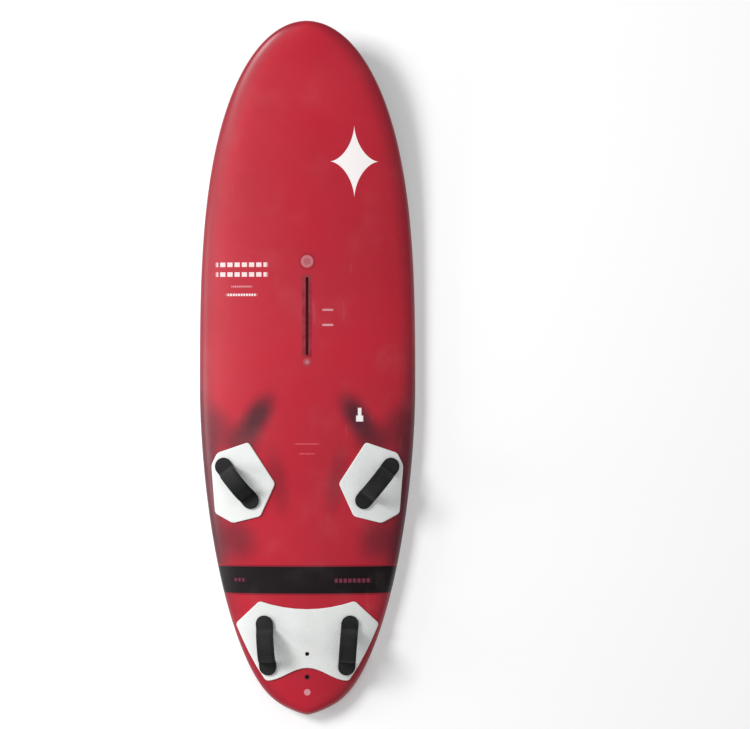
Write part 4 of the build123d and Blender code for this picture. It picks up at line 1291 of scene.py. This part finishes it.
# ---- Footstraps ------------------------------------------------------------------------------
@dataclass
class Footstrap:
    """One padded strap cover with its bound edges, closing flap and stitching."""

    seat: StrapSeat
    cloth: bpy.types.Material
    flap_cloth: bpy.types.Material
    thread: bpy.types.Material
    half: float = 0.030
    thick: float = 0.008
    across: int = 22
    rows: int = 104
    flap_half: float = 0.0235
    flap_reach: float = 0.050
    flap_thick: float = 0.0016
    stitch: float = 0.0034
    stitch_pitch: float = 0.0052
    stitch_radius: float = 0.00045
    web_top: float = 0.0064
    line_step: float = 0.002
    crown_drop: float = 0.22
    seam_depth: float = 0.0009
    seam_place: float = 0.84
    seam_width: float = 0.035
    bead_place: float = 0.93
    end_crowding: float = 0.12
    underside: float = 0.8
    flap_lift: float = 0.0001
    flap_corner: float = 0.14
    flap_rounding: float = 0.16
    line: list[Vector] = field(init=False)
    upright: Matrix = field(init=False)
    lean: float = field(init=False)

    def __post_init__(self) -> None:
        """Work out the middle line once."""
        self.line = self.seat.arch(self.line_step)
        self.upright = self.seat.upright()[0]
        self.lean = self.upright[2][1] / self.upright[2][2]

    @property
    def reach(self) -> float:
        """Length of the middle line, over both ends."""
        return len(self.line) * self.line_step

    def station(self, share: float) -> tuple[Vector, Vector]:
        """The middle line's point and its outward direction, at a share of its length."""
        spot = share * (len(self.line) - 1)
        i = min(int(spot), len(self.line) - 2)
        point = self.line[i].lerp(self.line[i + 1], spot - i)
        before, after = self.line[max(i - 1, 0)], self.line[min(i + 2, len(self.line) - 1)]
        along = (after - before).normalized()
        return point, Vector((-along.y, along.x))

    def put(self, share: float, sideways: float, lift: float) -> Vector:
        """A point beside and above the middle line, in the board's frame, where the arch stands upright."""
        point, out = self.station(share)
        at = point + out * lift
        return self.upright @ Vector((at.x, sideways + self.lean * (at.y - self.web_top), at.y))

    def half_at(self, share: float) -> float:
        """Half of the cover's width, which is round at both ends."""
        far = abs(self.line[0].x) if share < 0.5 else abs(self.line[-1].x)
        past = abs(self.station(share)[0].x) - (far - self.half)
        return math.sqrt(max(0.0, self.half**2 - max(0.0, past) ** 2))

    def top_at(self, share: float, v: float) -> float:
        """Height of the cover's top over its middle line, crowned, with a seam beside the bound edge."""
        end = min(1.0, (self.half_at(share) / self.half) ** 0.35)
        crown = self.thick / 2 * (1.0 - self.crown_drop * v * v)
        seam = self.seam_depth * math.exp(-(((abs(v) - self.seam_place) / self.seam_width) ** 2))
        bead = max(0.0, (abs(v) - self.bead_place) / (1 - self.bead_place))
        return (crown - seam) * math.sqrt(max(0.0, 1 - bead**2)) * end

    def cover(self) -> bmesh.types.BMesh:
        """The padded sleeve, as one closed skin."""
        around = 2 * self.across

        def place(along: float, turn: float) -> Vector:
            """The sleeve's point, over the top from edge to edge and back underneath."""
            column = round(turn * around)
            over = column <= self.across
            share_across = column / self.across if over else (around - column) / self.across
            v = math.sin(math.pi / 2 * (2 * share_across - 1))
            crowd = self.end_crowding
            swing = math.cos(math.pi * (crowd + (1 - 2 * crowd) * along)) / math.cos(math.pi * crowd)
            share = 0.5 - 0.5 * swing
            share = min(max(share, 0.0), 1.0)
            lift = self.top_at(share, v)
            return self.put(share, v * self.half_at(share), lift if over else -self.underside * lift)

        bm = placed_grid(self.rows, around, place)
        layer = bm.loops.layers.uv.new("cloth")
        for face in bm.faces:
            for loop in face.loops:
                local = self.upright.inverted() @ loop.vert.co
                sideways = local.y - self.lean * (local.z - self.web_top)
                loop[layer].uv = (sideways, self.nearest(local) * self.reach)
        bmesh.ops.remove_doubles(bm, verts=bm.verts, dist=2e-5)
        bmesh.ops.recalc_face_normals(bm, faces=bm.faces)
        return bm

    def nearest(self, local: Vector) -> float:
        """Share of the middle line that lies nearest to a point."""
        flat = Vector((local.x, local.z))
        best = min(range(len(self.line)), key=lambda i: (self.line[i] - flat).length_squared)
        return best / (len(self.line) - 1)

    def flap(self, bm: bmesh.types.BMesh) -> None:
        """Add the closing flap over the crown, wrapped down its two sides."""
        rows, columns = 40, 16
        half = self.flap_reach / self.reach

        def place(along: float, across: float) -> Vector:
            """The flap's point, a little over the cover, its corners rounded off."""
            share = 0.5 + half * (2 * along - 1)
            v = (2 * across - 1) * self.flap_half / self.half
            corner = max(0.0, (abs(2 * along - 1) - 1 + self.flap_corner) / self.flap_corner)
            v *= 1 - self.flap_rounding * (1 - math.sqrt(max(0.0, 1 - corner**2)))
            return self.put(share, v * self.half, self.top_at(share, v) + self.flap_lift)

        sheet = placed_grid(rows, columns, place)
        layer = sheet.loops.layers.uv.new("cloth")
        for face in sheet.faces:
            face.material_index = 1
            for loop in face.loops:
                local = self.upright.inverted() @ loop.vert.co
                loop[layer].uv = (local.y, local.x + local.z)
        facing = sum((face.normal @ self.upright.to_3x3()).z for face in sheet.faces)
        if facing < 0:
            bmesh.ops.reverse_faces(sheet, faces=sheet.faces)
        piece = to_object(sheet, "flap")
        wall = piece.modifiers.new("wall", "SOLIDIFY")
        wall.thickness = self.flap_thick
        wall.offset = 1.0
        round_edge = piece.modifiers.new("edge", "BEVEL")
        round_edge.width = self.flap_thick * 0.35
        round_edge.segments = 2
        round_edge.limit_method = "ANGLE"
        settle(piece)
        bm.from_mesh(piece.data)
        bpy.data.objects.remove(piece)

    def stitches(self, bm: bmesh.types.BMesh) -> None:
        """Add both rows of edge stitches and the two rows along the flap."""
        rows = [(0.10, 0.90, 0.76 * self.half, 0.0), (0.10, 0.90, -0.76 * self.half, 0.0)]
        flap = self.flap_reach / self.reach
        rows += [(0.5 - flap * 0.95, 0.5 + flap * 0.95, way * (self.flap_half - 0.0035), self.flap_thick)
                 for way in (-1, 1)]
        for start, end, sideways, raise_by in rows:
            count = int((end - start) * self.reach / self.stitch_pitch)
            for i in range(count):
                share = start + (end - start) * (i + 0.5) / count
                tight = min(1.0, self.half_at(share) / self.half)
                y = sideways * tight
                lift = self.top_at(share, sideways / self.half) + raise_by + self.stitch_radius * 0.4
                here = self.put(share, y, lift)
                ahead = self.put(min(share + 0.004, 1.0), y, lift)
                turn = (ahead - here).to_track_quat("Z", "X").to_matrix().to_4x4()
                made = bmesh.ops.create_cone(bm, cap_ends=True, segments=6, radius1=self.stitch_radius,
                                             radius2=self.stitch_radius, depth=self.stitch,
                                             matrix=Matrix.Translation(here) @ turn)
                for face in {face for vert in made["verts"] for face in vert.link_faces}:
                    face.material_index = 2

    def build(self) -> bpy.types.Object:
        """Build the whole cover as one soft piece."""
        bm = self.cover()
        self.flap(bm)
        self.stitches(bm)
        piece = to_object(bm, f"{self.seat.name}_strap_padding")
        dress(piece, self.cloth, self.flap_cloth, self.thread)
        smooth(piece, 50.0)
        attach(piece, BODY)
        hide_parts(f"{self.seat.name}_strap_cover")
        log.info("%s: %d faces", piece.name, len(piece.data.polygons))
        return piece


# ---- Pieces that stay as the frame has them --------------------------------------------------
@dataclass
class Fittings:
    """Moulded fittings, fasteners, webbing and the layers inside the hull."""

    shared: SharedEffects

    def finishes(self) -> dict[str, bpy.types.Material]:
        """A finish for each kind of node, by the end of the node's name."""
        track = Moulding("track_plastic", paint(138, 24, 40), paint(160, 60, 74), 0.42)
        box = Moulding("fin_box_plastic", paint(24, 24, 26), paint(72, 72, 76), 0.46)
        cup = Moulding("bolt_cup_plastic", paint(112, 26, 40), paint(150, 62, 76), 0.5)
        vent = Moulding("vent_plastic", paint(160, 52, 68), paint(190, 96, 110), 0.38)
        head = Moulding("vent_screw", paint(196, 120, 132), paint(160, 96, 106), 0.36)
        plug = Moulding("plug_plastic", paint(36, 36, 38), paint(90, 90, 94), 0.5)
        plate = Moulding("plate_plastic", paint(30, 30, 32), paint(96, 96, 100), 0.4)
        rubber = Moulding("seal_rubber", paint(20, 20, 21), paint(46, 46, 48), 0.7)
        web = Moulding("webbing", paint(30, 30, 33), paint(62, 62, 68), 0.85, 0.0003)
        skin_foam = CellFoam("sandwich_foam", paint(226, 206, 150), 0.0012)
        block_foam = CellFoam("block_foam", paint(196, 164, 96), 0.0008)
        beads = CellFoam("eps_foam", paint(240, 241, 243), 0.0042)
        steel = Steel()
        made = {finish.name: finish.build(self.shared) for finish in (
            track, box, cup, vent, head, plug, plate, rubber, web, skin_foam, block_foam, beads, steel)}
        kinds = {"mast_track": "track_plastic", "fin_box": "fin_box_plastic",
                 "fin_bolt_cups": "bolt_cup_plastic", "vent_insert": "vent_plastic",
                 "vent_screw": "vent_screw", "vent_o_ring": "seal_rubber", "plugs": "plug_plastic",
                 "strap_plates": "plate_plastic", "strap_screws": "screw_steel",
                 "strap_webbing": "webbing", "sandwich": "sandwich_foam", "block": "block_foam",
                 "eps_core": "eps_foam"}
        return {kind: made[name] for kind, name in kinds.items()}

    def build(self) -> None:
        """Dress every node that stays."""
        finishes = self.finishes()
        for name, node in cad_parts.items():
            for kind, finish in finishes.items():
                if name.endswith(kind):
                    dress(node, finish)
                    log.info("%s: %s", name, finish.name)


# ---- Studio ----------------------------------------------------------------------------------
@dataclass
class Studio:
    """Pale floor, soft light from the left and a long lens straight over the deck."""

    floor_half: float = 14.0
    lens: float = 150.0
    view_width: float = 2.5515
    sky: float = 0.64
    mirrored_sky: float = 0.06
    look_at: tuple[float, float, float] = (0.230, 0.019, 0.060)

    def floor(self) -> None:
        """A pale floor that is clear from below, and to the light that the bottom is seen by."""
        bm = bmesh.new()
        bmesh.ops.create_grid(bm, x_segments=1, y_segments=1, size=self.floor_half,
                              matrix=Matrix.Translation((0, 0, -0.0005)))
        floor = to_object(bm, "studio_floor")
        material = bpy.data.materials.new("studio_floor")
        material.use_nodes = True
        recipe = Recipe(material.node_tree)
        shader = material.node_tree.nodes["Principled BSDF"]
        shader.inputs["Base Color"].default_value = (0.90, 0.90, 0.90, 1.0)
        shader.inputs["Roughness"].default_value = 0.95
        shader.inputs["Specular IOR Level"].default_value = 0.0
        clear = recipe.add("BsdfTransparent")
        scattered = recipe.add("LightPath").outputs["Is Diffuse Ray"]
        back = recipe.maths("MAXIMUM", recipe.add("NewGeometry").outputs["Backfacing"], scattered)
        either = recipe.add("MixShader")
        recipe.feed(either.inputs[0], back)
        recipe.feed(either.inputs[1], shader.outputs[0])
        recipe.feed(either.inputs[2], clear.outputs[0])
        recipe.feed(material.node_tree.nodes["Material Output"].inputs["Surface"], either.outputs[0])
        dress(floor, material)

    def lamp(self, name: str, place: Vector, size: float, power: float) -> None:
        """A square soft light aimed at the board."""
        data = bpy.data.lights.new(name, "AREA")
        data.size = size
        data.energy = power
        lamp = bpy.data.objects.new(name, data)
        lamp.location = place
        lamp.rotation_euler = (-place).to_track_quat("-Z", "Y").to_euler()
        bpy.context.scene.collection.objects.link(lamp)

    def build(self) -> None:
        """Build the floor, the lights and the camera."""
        self.floor()
        self.lamp("key", Vector((-6.0, 3.2, 6.5)), 3.0, 640.0)
        self.lamp("edge", Vector((-6.0, -0.5, 1.6)), 2.4, 130.0)
        world = bpy.data.worlds.new("studio")
        world.use_nodes = True
        recipe = Recipe(world.node_tree)
        background = world.node_tree.nodes["Background"]
        background.inputs["Color"].default_value = (1.0, 1.0, 1.0, 1.0)
        glossy = recipe.add("LightPath").outputs["Is Glossy Ray"]
        strength = recipe.ramp(glossy, 0.0, 1.0, self.sky, self.mirrored_sky)
        recipe.feed(background.inputs["Strength"], strength)
        bpy.context.scene.world = world
        bpy.context.scene.view_settings.view_transform = "Standard"
        data = bpy.data.cameras.new("camera")
        data.lens = self.lens
        camera = bpy.data.objects.new("camera", data)
        distance = self.view_width * self.lens / data.sensor_width
        camera.location = Vector(self.look_at) + Vector((0, 0, distance))
        data.clip_end = 100.0
        bpy.context.scene.collection.objects.link(camera)
        bpy.context.scene.camera = camera


# ---- The whole board -------------------------------------------------------------------------
def main() -> None:
    """Build every sub-assembly in order."""
    logging.basicConfig(level=logging.INFO, format="%(name)s: %(message)s")
    hull = HullForm()
    shared = SharedEffects()
    Studio().build()
    skins = HullSkins(hull)
    skins.build(DeckPaint(hull).build(shared), BottomCarbon(hull).build(shared))
    panel = Lacquer("cutout_red", paint(164, 36, 74), paint(190, 92, 118)).build(shared)
    wall = Lacquer("cutout_white", paint(232, 232, 232), paint(196, 194, 190)).build(shared)
    for step in skins.build_steps(panel, wall):
        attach(step, BODY)
        log.info("%s: %d faces", step.name, len(step.data.polygons))
    DeckPads(hull, PadFoam().build(shared)).build()
    cloth = StrapFabric("neoprene", paint(20, 20, 21), paint(44, 44, 46), 0.0016, 0.0, 0.00022).build(shared)
    nap = StrapFabric("flap_cloth", paint(15, 15, 16), paint(38, 38, 40), 0.0024, 1.0, 0.0003).build(shared)
    thread = Moulding("thread", paint(92, 92, 96), paint(120, 120, 124), 0.8).build(shared)
    for end in End:
        for side in Side:
            Footstrap(StrapSeat(hull, end, side), cloth, nap, thread).build()
    Fittings(shared).build()


if __name__ == "__main__":
    main()
